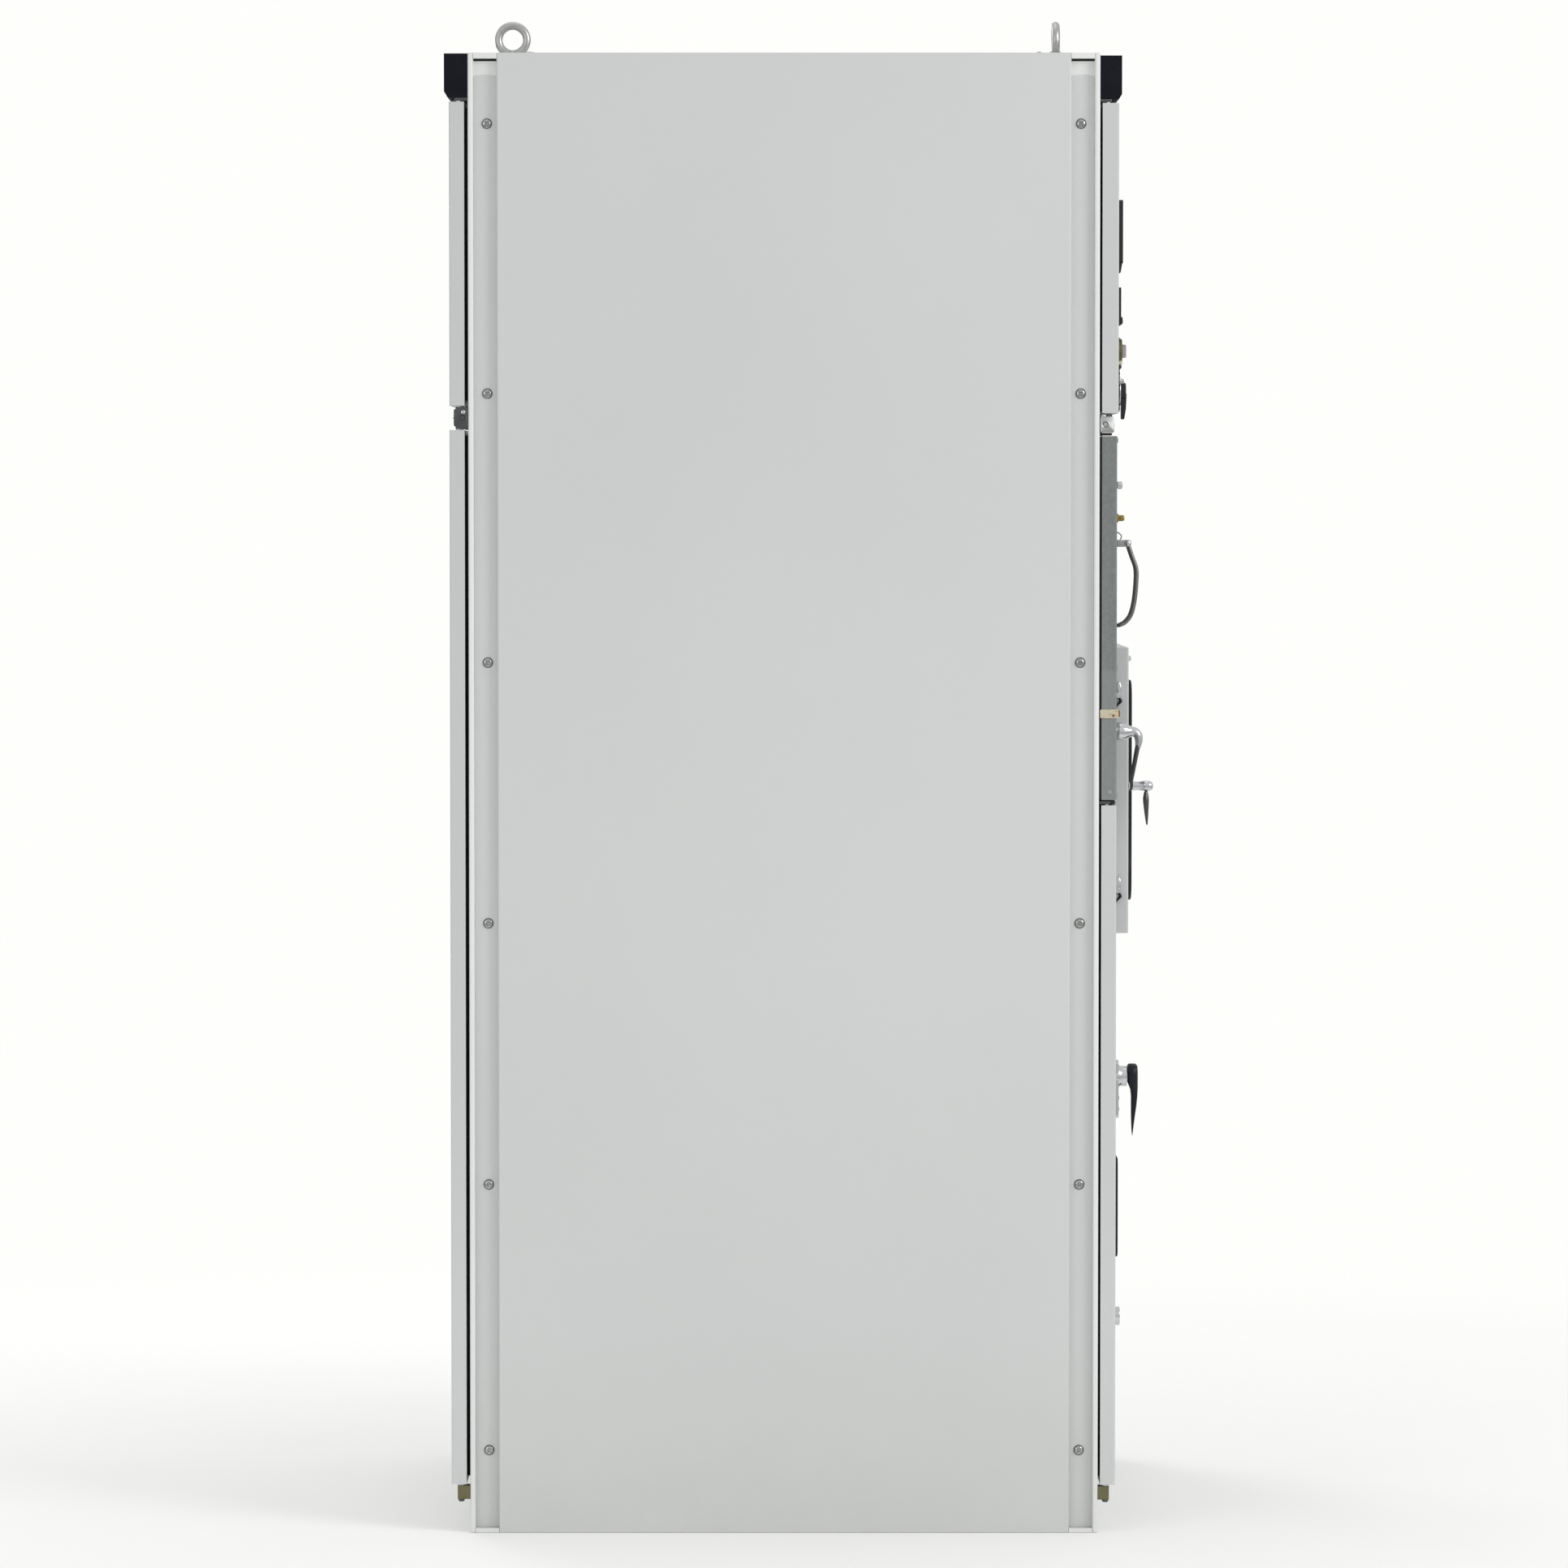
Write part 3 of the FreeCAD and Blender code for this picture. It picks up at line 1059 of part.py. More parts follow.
parts["door_seals"] = group(all_seals())
parts["mechanism_panel"] = mechanism_panel()
parts["fixed_front_panels"] = group([mimic_panel(), column_strip()])
parts["mechanism_fittings"] = group([bearing_plate(), pawl()] + knuckles + side_clip())
parts["partition_panels"] = partition_panels()
parts["mounting_rails"] = mounting_rails()
parts["gland_plate"] = gland_plate()
parts["earth_bar"] = earth_bar()
parts["post_insulators"] = group([post_insulator(x, z) for x in (-BAR_POST_X, BAR_POST_X)
                                  for z in BAR_Z])
parts["copper_bars"] = group([busbar(z) for z in BAR_Z] + phase_conductors())
parts["breaker_housing"] = breaker_housing()
parts["breaker_poles"] = group([breaker_pole(x) for x in PHASE_X])
parts["current_transformers"] = group([current_transformer(x) for x in PHASE_X])
parts["terminal_rail"] = terminal_rail()
parts["isolator_shaft"] = isolator_shaft()
parts["crank"] = crank()
parts["crank_grip"] = crank_grip()
parts["bail_handle"] = bail_handle()
parts["plunger_knob"] = plunger_knob()
parts["interlock_key"] = interlock_key()
parts["instrument_door"] = instrument_door()
parts["protection_relay"] = protection_relay()
parts["display_unit"] = display_unit()
parts["panel_meters"] = group([panel_meter(x) for x in METER_X])
parts["indicator_lamps"] = group([indicator_lamp(x) for x in LAMP_X])
parts["open_button"] = button_cap(OPEN_BUTTON_X)
parts["close_button"] = button_cap(CLOSE_BUTTON_X)
parts["key_switch_body"] = key_switch_body()
parts["key_switch_key"] = key_switch_key()
parts["switch_bodies"] = group([control_switch_plate()]
                               + [button_collar(x) for x in (OPEN_BUTTON_X, CLOSE_BUTTON_X)])
parts["control_switch_handle"] = control_switch_handle()
parts["instrument_lock"] = quarter_turn(*INSTRUMENT_LOCK, INSTRUMENT_FACE)
parts["mechanism_door"] = mechanism_door()
parts["mechanism_window"] = mechanism_window()
parts["handle_plate"] = handle_plate()
parts["door_handle"] = door_handle()
parts["mechanism_lock"] = mechanism_lock()
parts["breaker_door"] = breaker_door()
parts["breaker_window"] = breaker_window()
parts["breaker_latch_upper"] = breaker_latch(LATCH_Z[0])
parts["breaker_latch_lower"] = breaker_latch(LATCH_Z[1])
parts["cable_door"] = cable_door()
parts["cable_lock"] = quarter_turn(*CABLE_LOCK, FRONT_FACE, cam=32.0)
parts["rear_upper_door"] = rear_door(REAR_UPPER_Z, REAR_UPPER_LOCK)
parts["rear_lower_door"] = rear_door(REAR_LOWER_Z, REAR_LOWER_LOCK)
parts["rear_upper_lock"] = mirror_y(quarter_turn(*REAR_UPPER_LOCK, -REAR_FACE))
parts["rear_lower_lock"] = mirror_y(quarter_turn(*REAR_LOWER_LOCK, -REAR_FACE))

os.makedirs("parts", exist_ok=True)
for name, shape in parts.items():
    shape.exportStep("parts/" + name + ".step")
    print(name, len(shape.Solids), "solids, valid" if shape.isValid() else "solids, NOT VALID",
          round(shape.Volume / 1000.0, 1), "cm3")
print(len(parts), "nodes")
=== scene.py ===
"""Looks of the switchboard cubicle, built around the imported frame. Metres, front faces -Y."""

import json
import math
import random

import bmesh
import bpy
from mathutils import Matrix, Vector


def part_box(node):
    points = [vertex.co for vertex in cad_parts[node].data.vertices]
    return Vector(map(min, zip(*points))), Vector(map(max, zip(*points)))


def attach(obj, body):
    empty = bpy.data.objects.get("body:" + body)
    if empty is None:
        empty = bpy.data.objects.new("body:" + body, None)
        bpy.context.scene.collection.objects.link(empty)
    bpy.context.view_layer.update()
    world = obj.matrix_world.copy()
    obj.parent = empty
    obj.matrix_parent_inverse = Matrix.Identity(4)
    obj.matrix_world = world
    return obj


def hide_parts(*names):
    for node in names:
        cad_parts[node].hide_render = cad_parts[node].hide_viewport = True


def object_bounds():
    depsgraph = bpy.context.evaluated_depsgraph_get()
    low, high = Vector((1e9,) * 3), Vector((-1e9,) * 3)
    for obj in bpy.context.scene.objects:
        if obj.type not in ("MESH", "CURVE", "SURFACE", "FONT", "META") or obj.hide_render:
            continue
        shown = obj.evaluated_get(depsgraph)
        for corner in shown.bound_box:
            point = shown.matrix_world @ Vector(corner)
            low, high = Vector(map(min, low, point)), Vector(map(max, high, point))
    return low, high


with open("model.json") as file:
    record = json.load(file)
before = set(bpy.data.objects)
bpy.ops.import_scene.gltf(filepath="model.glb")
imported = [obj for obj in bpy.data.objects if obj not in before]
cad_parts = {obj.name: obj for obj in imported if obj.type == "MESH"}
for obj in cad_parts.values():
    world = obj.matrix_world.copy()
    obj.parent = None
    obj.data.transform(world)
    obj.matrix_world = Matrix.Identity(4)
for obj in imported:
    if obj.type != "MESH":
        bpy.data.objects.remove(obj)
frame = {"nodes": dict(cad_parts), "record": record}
cad_box = [list(corner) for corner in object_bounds()]
nodes = frame["nodes"]
rng = random.Random(7)
MM = 0.001


# Camera, light and floor --------------------------------------------------------

VIEW_DISTANCE = 9.5
EYE_HEIGHT = 1.516
AIM_HEIGHT = 1.118
LENS_MM = 147.0
MIDDLE_HEIGHT = 1.1
SOFTBOXES = (              # name, place, side length, power
    ("key", (-3.2, -4.2, 3.4), 2.4, 95),
    ("fill", (-4.5, 3.4, 2.2), 2.4, 23),
    ("top", (0.3, 0.2, 4.6), 2.2, 8),
    ("back", (3.6, 2.5, 2.6), 2.2, 45),
)


def aim(obj, target):
    """Turns a camera or light so that it looks at a point."""
    obj.rotation_euler = (target - obj.location).to_track_quat("-Z", "Y").to_euler()


def add_camera():
    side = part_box("side_panel_left")[0].x
    data = bpy.data.cameras.new("camera")
    data.lens = LENS_MM
    data.sensor_width = 36.0
    data.clip_end = 60.0
    camera = bpy.data.objects.new("camera", data)
    bpy.context.scene.collection.objects.link(camera)
    camera.location = (side - VIEW_DISTANCE, 0.0, EYE_HEIGHT)
    aim(camera, Vector((side, 0.0, AIM_HEIGHT)))
    bpy.context.scene.camera = camera


def add_softbox(name, place, size, power):
    """Square area light aimed at the middle of the cabinet."""
    data = bpy.data.lights.new(name, "AREA")
    data.shape = "RECTANGLE"
    data.size = data.size_y = size
    data.energy = power
    light = bpy.data.objects.new(name, data)
    bpy.context.scene.collection.objects.link(light)
    light.location = place
    aim(light, Vector((0.0, 0.0, MIDDLE_HEIGHT)))


def add_world():
    """White for the eye, and a soft grey sky that is darker low down for the light."""
    world = bpy.data.worlds.new("studio")
    world.use_nodes = True
    bpy.context.scene.world = world
    tree = world.node_tree
    tree.nodes.clear()
    out = tree.nodes.new("ShaderNodeOutputWorld")
    seen = tree.nodes.new("ShaderNodeBackground")
    seen.inputs[0].default_value = (0.995, 0.995, 0.975, 1)
    lit = tree.nodes.new("ShaderNodeBackground")
    lit.inputs[1].default_value = 0.80
    ramp = tree.nodes.new("ShaderNodeValToRGB")
    ramp.color_ramp.elements[0].position = 0.30
    ramp.color_ramp.elements[0].color = (0.62, 0.62, 0.61, 1)
    ramp.color_ramp.elements[1].position = 0.75
    ramp.color_ramp.elements[1].color = (1.0, 1.0, 1.0, 1)
    coords = tree.nodes.new("ShaderNodeTexCoord")
    split = tree.nodes.new("ShaderNodeSeparateXYZ")
    span = tree.nodes.new("ShaderNodeMapRange")
    span.inputs["From Min"].default_value = -1.0
    path = tree.nodes.new("ShaderNodeLightPath")
    mix = tree.nodes.new("ShaderNodeMixShader")
    link = tree.links.new
    link(coords.outputs["Generated"], split.inputs[0])
    link(split.outputs["Z"], span.inputs["Value"])
    link(span.outputs[0], ramp.inputs[0])
    link(ramp.outputs[0], lit.inputs[0])
    link(path.outputs["Is Camera Ray"], mix.inputs[0])
    link(lit.outputs[0], mix.inputs[1])
    link(seen.outputs[0], mix.inputs[2])
    link(mix.outputs[0], out.inputs[0])


def add_floor():
    """Pale floor disc that fades out to the white of the backdrop."""
    mesh = bpy.data.meshes.new("floor")
    shape = bmesh.new()
    bmesh.ops.create_circle(shape, cap_ends=True, segments=96, radius=4.0)
    shape.to_mesh(mesh)
    shape.free()
    floor = bpy.data.objects.new("floor", mesh)
    bpy.context.scene.collection.objects.link(floor)
    floor.location.z = cad_box[0][2] - 0.0005
    paint = Paint("floor", 0.9)
    paint.bsdf.inputs["Specular IOR Level"].default_value = 0.0
    paint.colour(paint.shades(paint.noise(2.0, 3), (0.93, 0.93, 0.915), (0.96, 0.96, 0.945)))
    far = paint.node("ShaderNodeVectorMath", operation="LENGTH")
    paint.link(paint.coords, far.inputs[0])
    fade = paint.node("ShaderNodeMapRange", interpolation_type="SMOOTHSTEP")
    paint.link(far.outputs["Value"], fade.inputs["Value"])
    fade.inputs["From Min"].default_value = 0.9
    fade.inputs["From Max"].default_value = 3.2
    fade.inputs["To Min"].default_value = 1.0
    fade.inputs["To Max"].default_value = 0.0
    paint.link(fade.outputs[0], paint.bsdf.inputs["Alpha"])
    floor.data.materials.append(paint.material)


# Materials ------------------------------------------------------------------------

class Paint:
    """A node material under construction. Its textures follow the object's own metres."""

    def __init__(self, name, roughness=0.5, metallic=0.0):
        self.material = bpy.data.materials.new(name)
        self.material.use_nodes = True
        self.tree = self.material.node_tree
        self.bsdf = self.tree.nodes["Principled BSDF"]
        self.bsdf.inputs["Roughness"].default_value = roughness
        self.bsdf.inputs["Metallic"].default_value = metallic
        self.coords = self.node("ShaderNodeTexCoord").outputs["Object"]
        self.normal = None

    def node(self, kind, **settings):
        made = self.tree.nodes.new(kind)
        for key, value in settings.items():
            setattr(made, key, value)
        return made

    def link(self, start, end):
        self.tree.links.new(start, end)

    def stretched(self, scale):
        """Coordinates scaled by a different factor along each axis."""
        mapping = self.node("ShaderNodeMapping")
        mapping.inputs["Scale"].default_value = scale
        self.link(self.coords, mapping.inputs["Vector"])
        return mapping.outputs[0]

    def noise(self, scale, detail=2, rough=0.5, coords=None):
        texture = self.node("ShaderNodeTexNoise")
        texture.inputs["Scale"].default_value = scale
        texture.inputs["Detail"].default_value = detail
        texture.inputs["Roughness"].default_value = rough
        self.link(coords or self.coords, texture.inputs["Vector"])
        return texture.outputs[0]

    def cells(self, scale, coords=None):
        texture = self.node("ShaderNodeTexVoronoi")
        texture.inputs["Scale"].default_value = scale
        self.link(coords or self.coords, texture.inputs["Vector"])
        return texture

    def span(self, value, low, high, to_low=0.0, to_high=1.0):
        """Maps a range of values to another, clamped."""
        mapped = self.node("ShaderNodeMapRange")
        for key, number in (("From Min", low), ("From Max", high),
                            ("To Min", to_low), ("To Max", to_high)):
            mapped.inputs[key].default_value = number
        self.link(value, mapped.inputs["Value"])
        return mapped.outputs[0]

    def height(self):
        split = self.node("ShaderNodeSeparateXYZ")
        self.link(self.coords, split.inputs[0])
        return split.outputs["Z"]

    def shades(self, value, dark, light):
        """Blends two colours by a value from 0 to 1."""
        mix = self.node("ShaderNodeMix", data_type="RGBA")
        self.link(value, mix.inputs[0])
        mix.inputs[6].default_value = (*dark, 1)
        mix.inputs[7].default_value = (*light, 1)
        return mix.outputs[2]

    def over(self, value, below, colour):
        """Lays a colour over another one where the value is high."""
        mix = self.node("ShaderNodeMix", data_type="RGBA")
        self.link(value, mix.inputs[0])
        self.link(below, mix.inputs[6])
        mix.inputs[7].default_value = (*colour, 1)
        return mix.outputs[2]

    def times(self, a, b):
        maths = self.node("ShaderNodeMath", operation="MULTIPLY")
        self.link(a, maths.inputs[0])
        if isinstance(b, float):
            maths.inputs[1].default_value = b
        else:
            self.link(b, maths.inputs[1])
        return maths.outputs[0]

    def colour(self, value):
        self.link(value, self.bsdf.inputs["Base Color"])

    def roughness(self, value):
        self.link(value, self.bsdf.inputs["Roughness"])

    def bump(self, value, strength, depth):
        """Adds relief; depth is in metres."""
        made = self.node("ShaderNodeBump")
        made.inputs["Strength"].default_value = strength
        made.inputs["Distance"].default_value = depth
        self.link(value, made.inputs["Height"])
        if self.normal is not None:
            self.link(self.normal, made.inputs["Normal"])
        self.normal = made.outputs[0]
        self.link(self.normal, self.bsdf.inputs["Normal"])

    def edges(self, radius):
        """0 on flat faces, towards 1 within a radius of a sharp edge."""
        bevel = self.node("ShaderNodeBevel", samples=4)
        bevel.inputs["Radius"].default_value = radius
        shape = self.node("ShaderNodeNewGeometry")
        dot = self.node("ShaderNodeVectorMath", operation="DOT_PRODUCT")
        self.link(bevel.outputs[0], dot.inputs[0])
        self.link(shape.outputs["Normal"], dot.inputs[1])
        return self.span(dot.outputs["Value"], 0.995, 0.90)


def powder_coat(name, base, rough=0.42, grime=0.05, floor_shade=0.0):
    """Powder-coated sheet: orange peel, slow colour drift, faint scuffs and dust low down.
    fall: how much painted shade darkens the coat towards the floor."""
    paint = Paint(name)
    dark = tuple(channel * 0.955 for channel in base)
    light = tuple(min(1.0, channel * 1.03) for channel in base)
    colour = paint.shades(paint.noise(1.6, 4), dark, light)
    # Painted shade: a smooth darkening towards the floor, towards half the base colour at full
    # strength.
    low = paint.times(paint.span(paint.height(), 0.85, 0.0), floor_shade)
    colour = paint.over(low, colour, tuple(channel * 0.5 for channel in base))
    dust = paint.times(paint.span(paint.height(), 0.30, 0.0), paint.noise(9.0, 5, 0.6))
    colour = paint.over(paint.times(dust, 4 * grime), colour, (0.33, 0.31, 0.28))
    scuff = paint.span(paint.noise(38.0, 6, 0.75, paint.stretched((1.0, 1.0, 0.35))), 0.66, 0.80)
    colour = paint.over(paint.times(scuff, 0.10), colour, (0.42, 0.42, 0.41))
    worn = paint.times(paint.edges(0.0012), paint.span(paint.noise(60.0, 4), 0.50, 0.66))
    colour = paint.over(paint.times(worn, 0.35), colour, (0.30, 0.31, 0.31))
    paint.colour(colour)
    paint.roughness(paint.span(paint.noise(14.0, 3), 0.3, 0.7, rough - 0.05, rough + 0.06))
    paint.bump(paint.noise(520.0, 2), 0.16, 0.00025)
    paint.bump(paint.noise(3.0, 2), 0.05, 0.004)
    return paint.material


def metal(name, base, rough=0.25, scratch=0.08, grain=None, dull=0.0):
    """Bare or plated metal with fine scratches; grain stretches them along an axis."""
    paint = Paint(name, rough, 1.0)
    where = paint.stretched(grain or (1.0, 1.0, 1.0))
    dark = tuple(channel * (0.82 - dull) for channel in base)
    paint.colour(paint.shades(paint.noise(45.0, 4, 0.6, where), dark, base))
    paint.roughness(paint.span(paint.noise(90.0, 5, 0.7, where), 0.25, 0.75,
                               max(0.03, rough - 0.10), rough + 0.14))
    paint.bump(paint.noise(700.0, 3, 0.6, where), scratch, 0.0002)
    return paint.material


def galvanised(name, base):
    """Dull grey zinc-coated sheet: faint fine spangle, upright streaks and a dust bloom."""
    paint = Paint(name, 0.48, 0.35)
    spangle = paint.cells(260.0)
    value = paint.node("ShaderNodeSeparateColor")
    paint.link(spangle.outputs["Color"], value.inputs[0])
    dark = tuple(channel * 0.90 for channel in base)
    light = tuple(min(1.0, channel * 1.08) for channel in base)
    colour = paint.shades(value.outputs[0], dark, light)
    streak = paint.span(paint.noise(60.0, 4, 0.6, paint.stretched((1.0, 1.0, 0.04))), 0.4, 0.8)
    colour = paint.over(paint.times(streak, 0.35), colour, (0.33, 0.35, 0.34))
    low = paint.span(paint.height(), 1.292, 1.282)
    colour = paint.over(paint.times(low, 0.22), colour, (0.40, 0.42, 0.41))
    bloom = paint.span(paint.noise(9.0, 5, 0.6), 0.52, 0.78)
    paint.colour(paint.over(paint.times(bloom, 0.14), colour, (0.45, 0.46, 0.45)))
    paint.roughness(paint.span(value.outputs[1], 0.0, 1.0, 0.42, 0.56))
    paint.bump(paint.noise(300.0, 3), 0.06, 0.0002)
    return paint.material


def plastic(name, base, rough=0.45, grain=0.12, grain_scale=1400.0, shine=0.5, drift=0.35):
    """Moulded plastic: fine spark-eroded grain, slightly polished and dusty patches."""
    paint = Paint(name, rough)
    paint.bsdf.inputs["Specular IOR Level"].default_value = shine
    light = tuple(min(1.0, channel * (1 + drift) + 0.004) for channel in base)
    colour = paint.shades(paint.noise(24.0, 4), base, light)
    dust = paint.span(paint.noise(130.0, 6, 0.8), 0.60, 0.85)
    paint.colour(paint.over(paint.times(dust, 0.07), colour, (0.45, 0.44, 0.42)))
    paint.roughness(paint.span(paint.noise(40.0, 3), 0.3, 0.7, max(0.05, rough - 0.08),
                               rough + 0.08))
    paint.bump(paint.noise(grain_scale, 2), grain, 0.0002)
    return paint.material


def rubber(name, base):
    paint = Paint(name, 0.7)
    paint.bsdf.inputs["Specular IOR Level"].default_value = 0.35
    light = tuple(channel * 1.8 + 0.004 for channel in base)
    colour = paint.shades(paint.noise(80.0, 5, 0.7), base, light)
    bloom = paint.span(paint.noise(18.0, 5, 0.6), 0.55, 0.8)
    paint.colour(paint.over(paint.times(bloom, 0.10), colour, (0.30, 0.30, 0.29)))
    paint.bump(paint.noise(900.0, 3), 0.25, 0.0003)
    return paint.material


def resin(name, base):
    """Glossy cast resin with a slight flow pattern."""
    paint = Paint(name, 0.22)
    dark = tuple(channel * 0.70 for channel in base)
    paint.colour(paint.shades(paint.noise(7.0, 6, 0.6), dark, base))
    paint.roughness(paint.span(paint.noise(30.0, 4), 0.3, 0.7, 0.15, 0.32))
    paint.bump(paint.noise(35.0, 2), 0.10, 0.001)
    return paint.material


def glass(name, tint, rough=0.04):
    """Window pane with faint smears."""
    paint = Paint(name, rough)
    paint.bsdf.inputs["Transmission Weight"].default_value = 1.0
    paint.bsdf.inputs["IOR"].default_value = 1.49
    paint.colour(paint.shades(paint.noise(12.0, 5), tint, tuple(min(1.0, c * 1.06) for c in tint)))
    paint.roughness(paint.span(paint.noise(20.0, 6, 0.7), 0.45, 0.8, rough, rough + 0.12))
    return paint.material


def lens(name, base):
    """Coloured lamp lens, ribbed inside."""
    paint = Paint(name, 0.12)
    paint.bsdf.inputs["Transmission Weight"].default_value = 0.35
    paint.bsdf.inputs["Coat Weight"].default_value = 0.5
    rings = paint.node("ShaderNodeTexWave", wave_type="RINGS", rings_direction="Y")
    rings.inputs["Scale"].default_value = 260.0
    paint.link(paint.coords, rings.inputs["Vector"])
    dark = tuple(channel * 0.55 for channel in base)
    paint.colour(paint.shades(rings.outputs["Fac"], dark, base))
    return paint.material


def aged_cream(name):
    """Yellowed paint with rust creeping in from its edges."""
    paint = Paint(name, 0.5)
    colour = paint.shades(paint.noise(120.0, 5, 0.6), (0.50, 0.44, 0.30), (0.66, 0.61, 0.47))
    rusted = paint.span(paint.noise(210.0, 6, 0.7), 0.56, 0.66)
    paint.colour(paint.over(paint.times(rusted, 0.7), colour, (0.28, 0.10, 0.03)))
    paint.bump(paint.noise(500.0, 4), 0.3, 0.0003)
    return paint.material


def rust(name):
    paint = Paint(name, 0.75)
    paint.colour(paint.shades(paint.noise(260.0, 6, 0.7), (0.10, 0.035, 0.015),
                              (0.42, 0.15, 0.045)))
    paint.bump(paint.noise(600.0, 5), 0.6, 0.0004)
    return paint.material


def screen(name):
    """Dark display glass with rows of faint generic bars."""
    paint = Paint(name, 0.10)
    rows = paint.node("ShaderNodeTexBrick")
    rows.inputs["Scale"].default_value = 90.0
    rows.inputs["Mortar Size"].default_value = 0.035
    rows.inputs["Color1"].default_value = (0.020, 0.060, 0.055, 1)
    rows.inputs["Color2"].default_value = (0.10, 0.26, 0.21, 1)
    rows.inputs["Mortar"].default_value = (0.008, 0.018, 0.018, 1)
    turned = paint.node("ShaderNodeMapping")
    turned.inputs["Rotation"].default_value = (math.radians(90), 0, 0)
    paint.link(paint.coords, turned.inputs["Vector"])
    paint.link(turned.outputs[0], rows.inputs["Vector"])
    paint.colour(rows.outputs["Color"])
    paint.bsdf.inputs["Coat Weight"].default_value = 0.6
    return paint.material


# Mesh helpers, in millimetres -----------------------------------------------------

def rounded(x0, x1, z0, z1, r, steps=6):
    """Outline of a rounded rectangle, as (x, z) points in order."""
    points = []
    for cx, cz, start in ((x1 - r, z1 - r, 0), (x0 + r, z1 - r, 90),
                          (x0 + r, z0 + r, 180), (x1 - r, z0 + r, 270)):
        for i in range(steps + 1):
            angle = math.radians(start + 90 * i / steps)
            points.append((cx + r * math.cos(angle), cz + r * math.sin(angle)))
    return points


def loft(shape, loops, close=False):
    """Skin through loops of equally many points; capped unless it closes on itself."""
    rows = [[shape.verts.new(point) for point in loop] for loop in loops]
    pairs = list(zip(rows, rows[1:]))
    if close:
        pairs.append((rows[-1], rows[0]))
    for low, high in pairs:
        for i in range(len(low)):
            j = (i + 1) % len(low)
            shape.faces.new((low[i], low[j], high[j], high[i]))
    if not close:
        shape.faces.new(rows[0][::-1])
        shape.faces.new(rows[-1])


def plate(shape, x0, x1, z0, z1, back, front, corner=3.0, bevel=0.6):
    """Plate that faces -Y, with a rounded front edge."""
    loops = []
    for y, inset in ((back, 0.0), (front + bevel, 0.0), (front + bevel * 0.3, bevel * 0.3),
                     (front, bevel)):
        edge = rounded(x0 + inset, x1 - inset, z0 + inset, z1 - inset, max(corner - inset, 0.3))
        loops.append([(x, y, z) for x, z in edge])
    loft(shape, loops)


def slab(shape, axis, rows, r, steps=6):
    """Skin through rounded rectangles (place, a0, a1, b0, b1), stacked along x or z."""
    loops = []
    for place, a0, a1, b0, b1 in rows:
        edge = rounded(a0, a1, b0, b1, r, steps)
        loops.append([(place, a, b) if axis == "x" else (a, b, place) for a, b in edge])
    loft(shape, loops)


def holed_plate(shape, cx, cz, half, hole, back, front, corner=6.0, bevel=0.8):
    """Square plate that faces -Y, with a round hole through its middle."""
    loops = []
    for y, inset in ((back, 0.0), (front + bevel, 0.0), (front, bevel)):
        edge = rounded(cx - half + inset, cx + half - inset, cz - half + inset,
                       cz + half - inset, corner - inset)
        loops.append([(x, y, z) for x, z in edge])
    for y, r in ((front, hole + 0.5), (front + 0.5, hole), (back, hole)):
        ring = []
        for x, _, z in loops[0]:
            far = math.hypot(x - cx, z - cz)
            ring.append((cx + (x - cx) * r / far, y, cz + (z - cz) * r / far))
        loops.append(ring)
    loft(shape, loops, close=True)


def bezel(shape, x0, x1, z0, z1, wide, back, front, corner, bevel=1.2):
    """Frame that faces -Y: rounded outer and inner corners, rounded front."""
    loops = []
    inner = max(corner - wide, 1.5)
    for y, inset, r in ((back, 0.0, corner), (front + bevel, 0.0, corner),
                        (front + bevel * 0.3, bevel * 0.3, corner - bevel * 0.3),
                        (front, bevel, corner - bevel), (front, wide - bevel, inner + bevel),
                        (front + bevel, wide, inner), (back, wide, inner)):
        edge = rounded(x0 + inset, x1 - inset, z0 + inset, z1 - inset, r)
        loops.append([(x, y, z) for x, z in edge])
    loft(shape, loops, close=True)


def lathe(shape, profile, centre, axis=(0, -1, 0), steps=40):
    """Turned body: profile points are (radius, distance along the axis)."""
    along = Vector(axis).normalized()
    side = along.orthogonal().normalized()
    up = along.cross(side)
    rows = []
    for r, t in profile:
        middle = Vector(centre) + along * t
        if r < 1e-6:
            rows.append([shape.verts.new(middle)])
            continue
        angles = [2 * math.pi * i / steps for i in range(steps)]
        rows.append([shape.verts.new(middle + (side * math.cos(a) + up * math.sin(a)) * r)
                     for a in angles])
    for low, high in zip(rows, rows[1:]):
        for i in range(steps):
            j = (i + 1) % steps
            corners = [low[i % len(low)], low[j % len(low)], high[j % len(high)],
                       high[i % len(high)]]
            corners = list(dict.fromkeys(corners))
            if len(corners) > 2:
                shape.faces.new(corners)


def smooth_path(points, steps=6):
    """Catmull-Rom curve through points of any dimension."""
    points = [Vector(p) for p in points]
    ends = [points[0] * 2 - points[1]] + points + [points[-1] * 2 - points[-2]]
    path = []
    for a, b, c, d in zip(ends, ends[1:], ends[2:], ends[3:]):
        for i in range(steps):
            t = i / steps
            path.append(0.5 * (2 * b + (c - a) * t + (2 * a - 5 * b + 4 * c - d) * t * t
                               + (3 * b - a - 3 * c + d) * t * t * t))
    return path + [points[-1]]


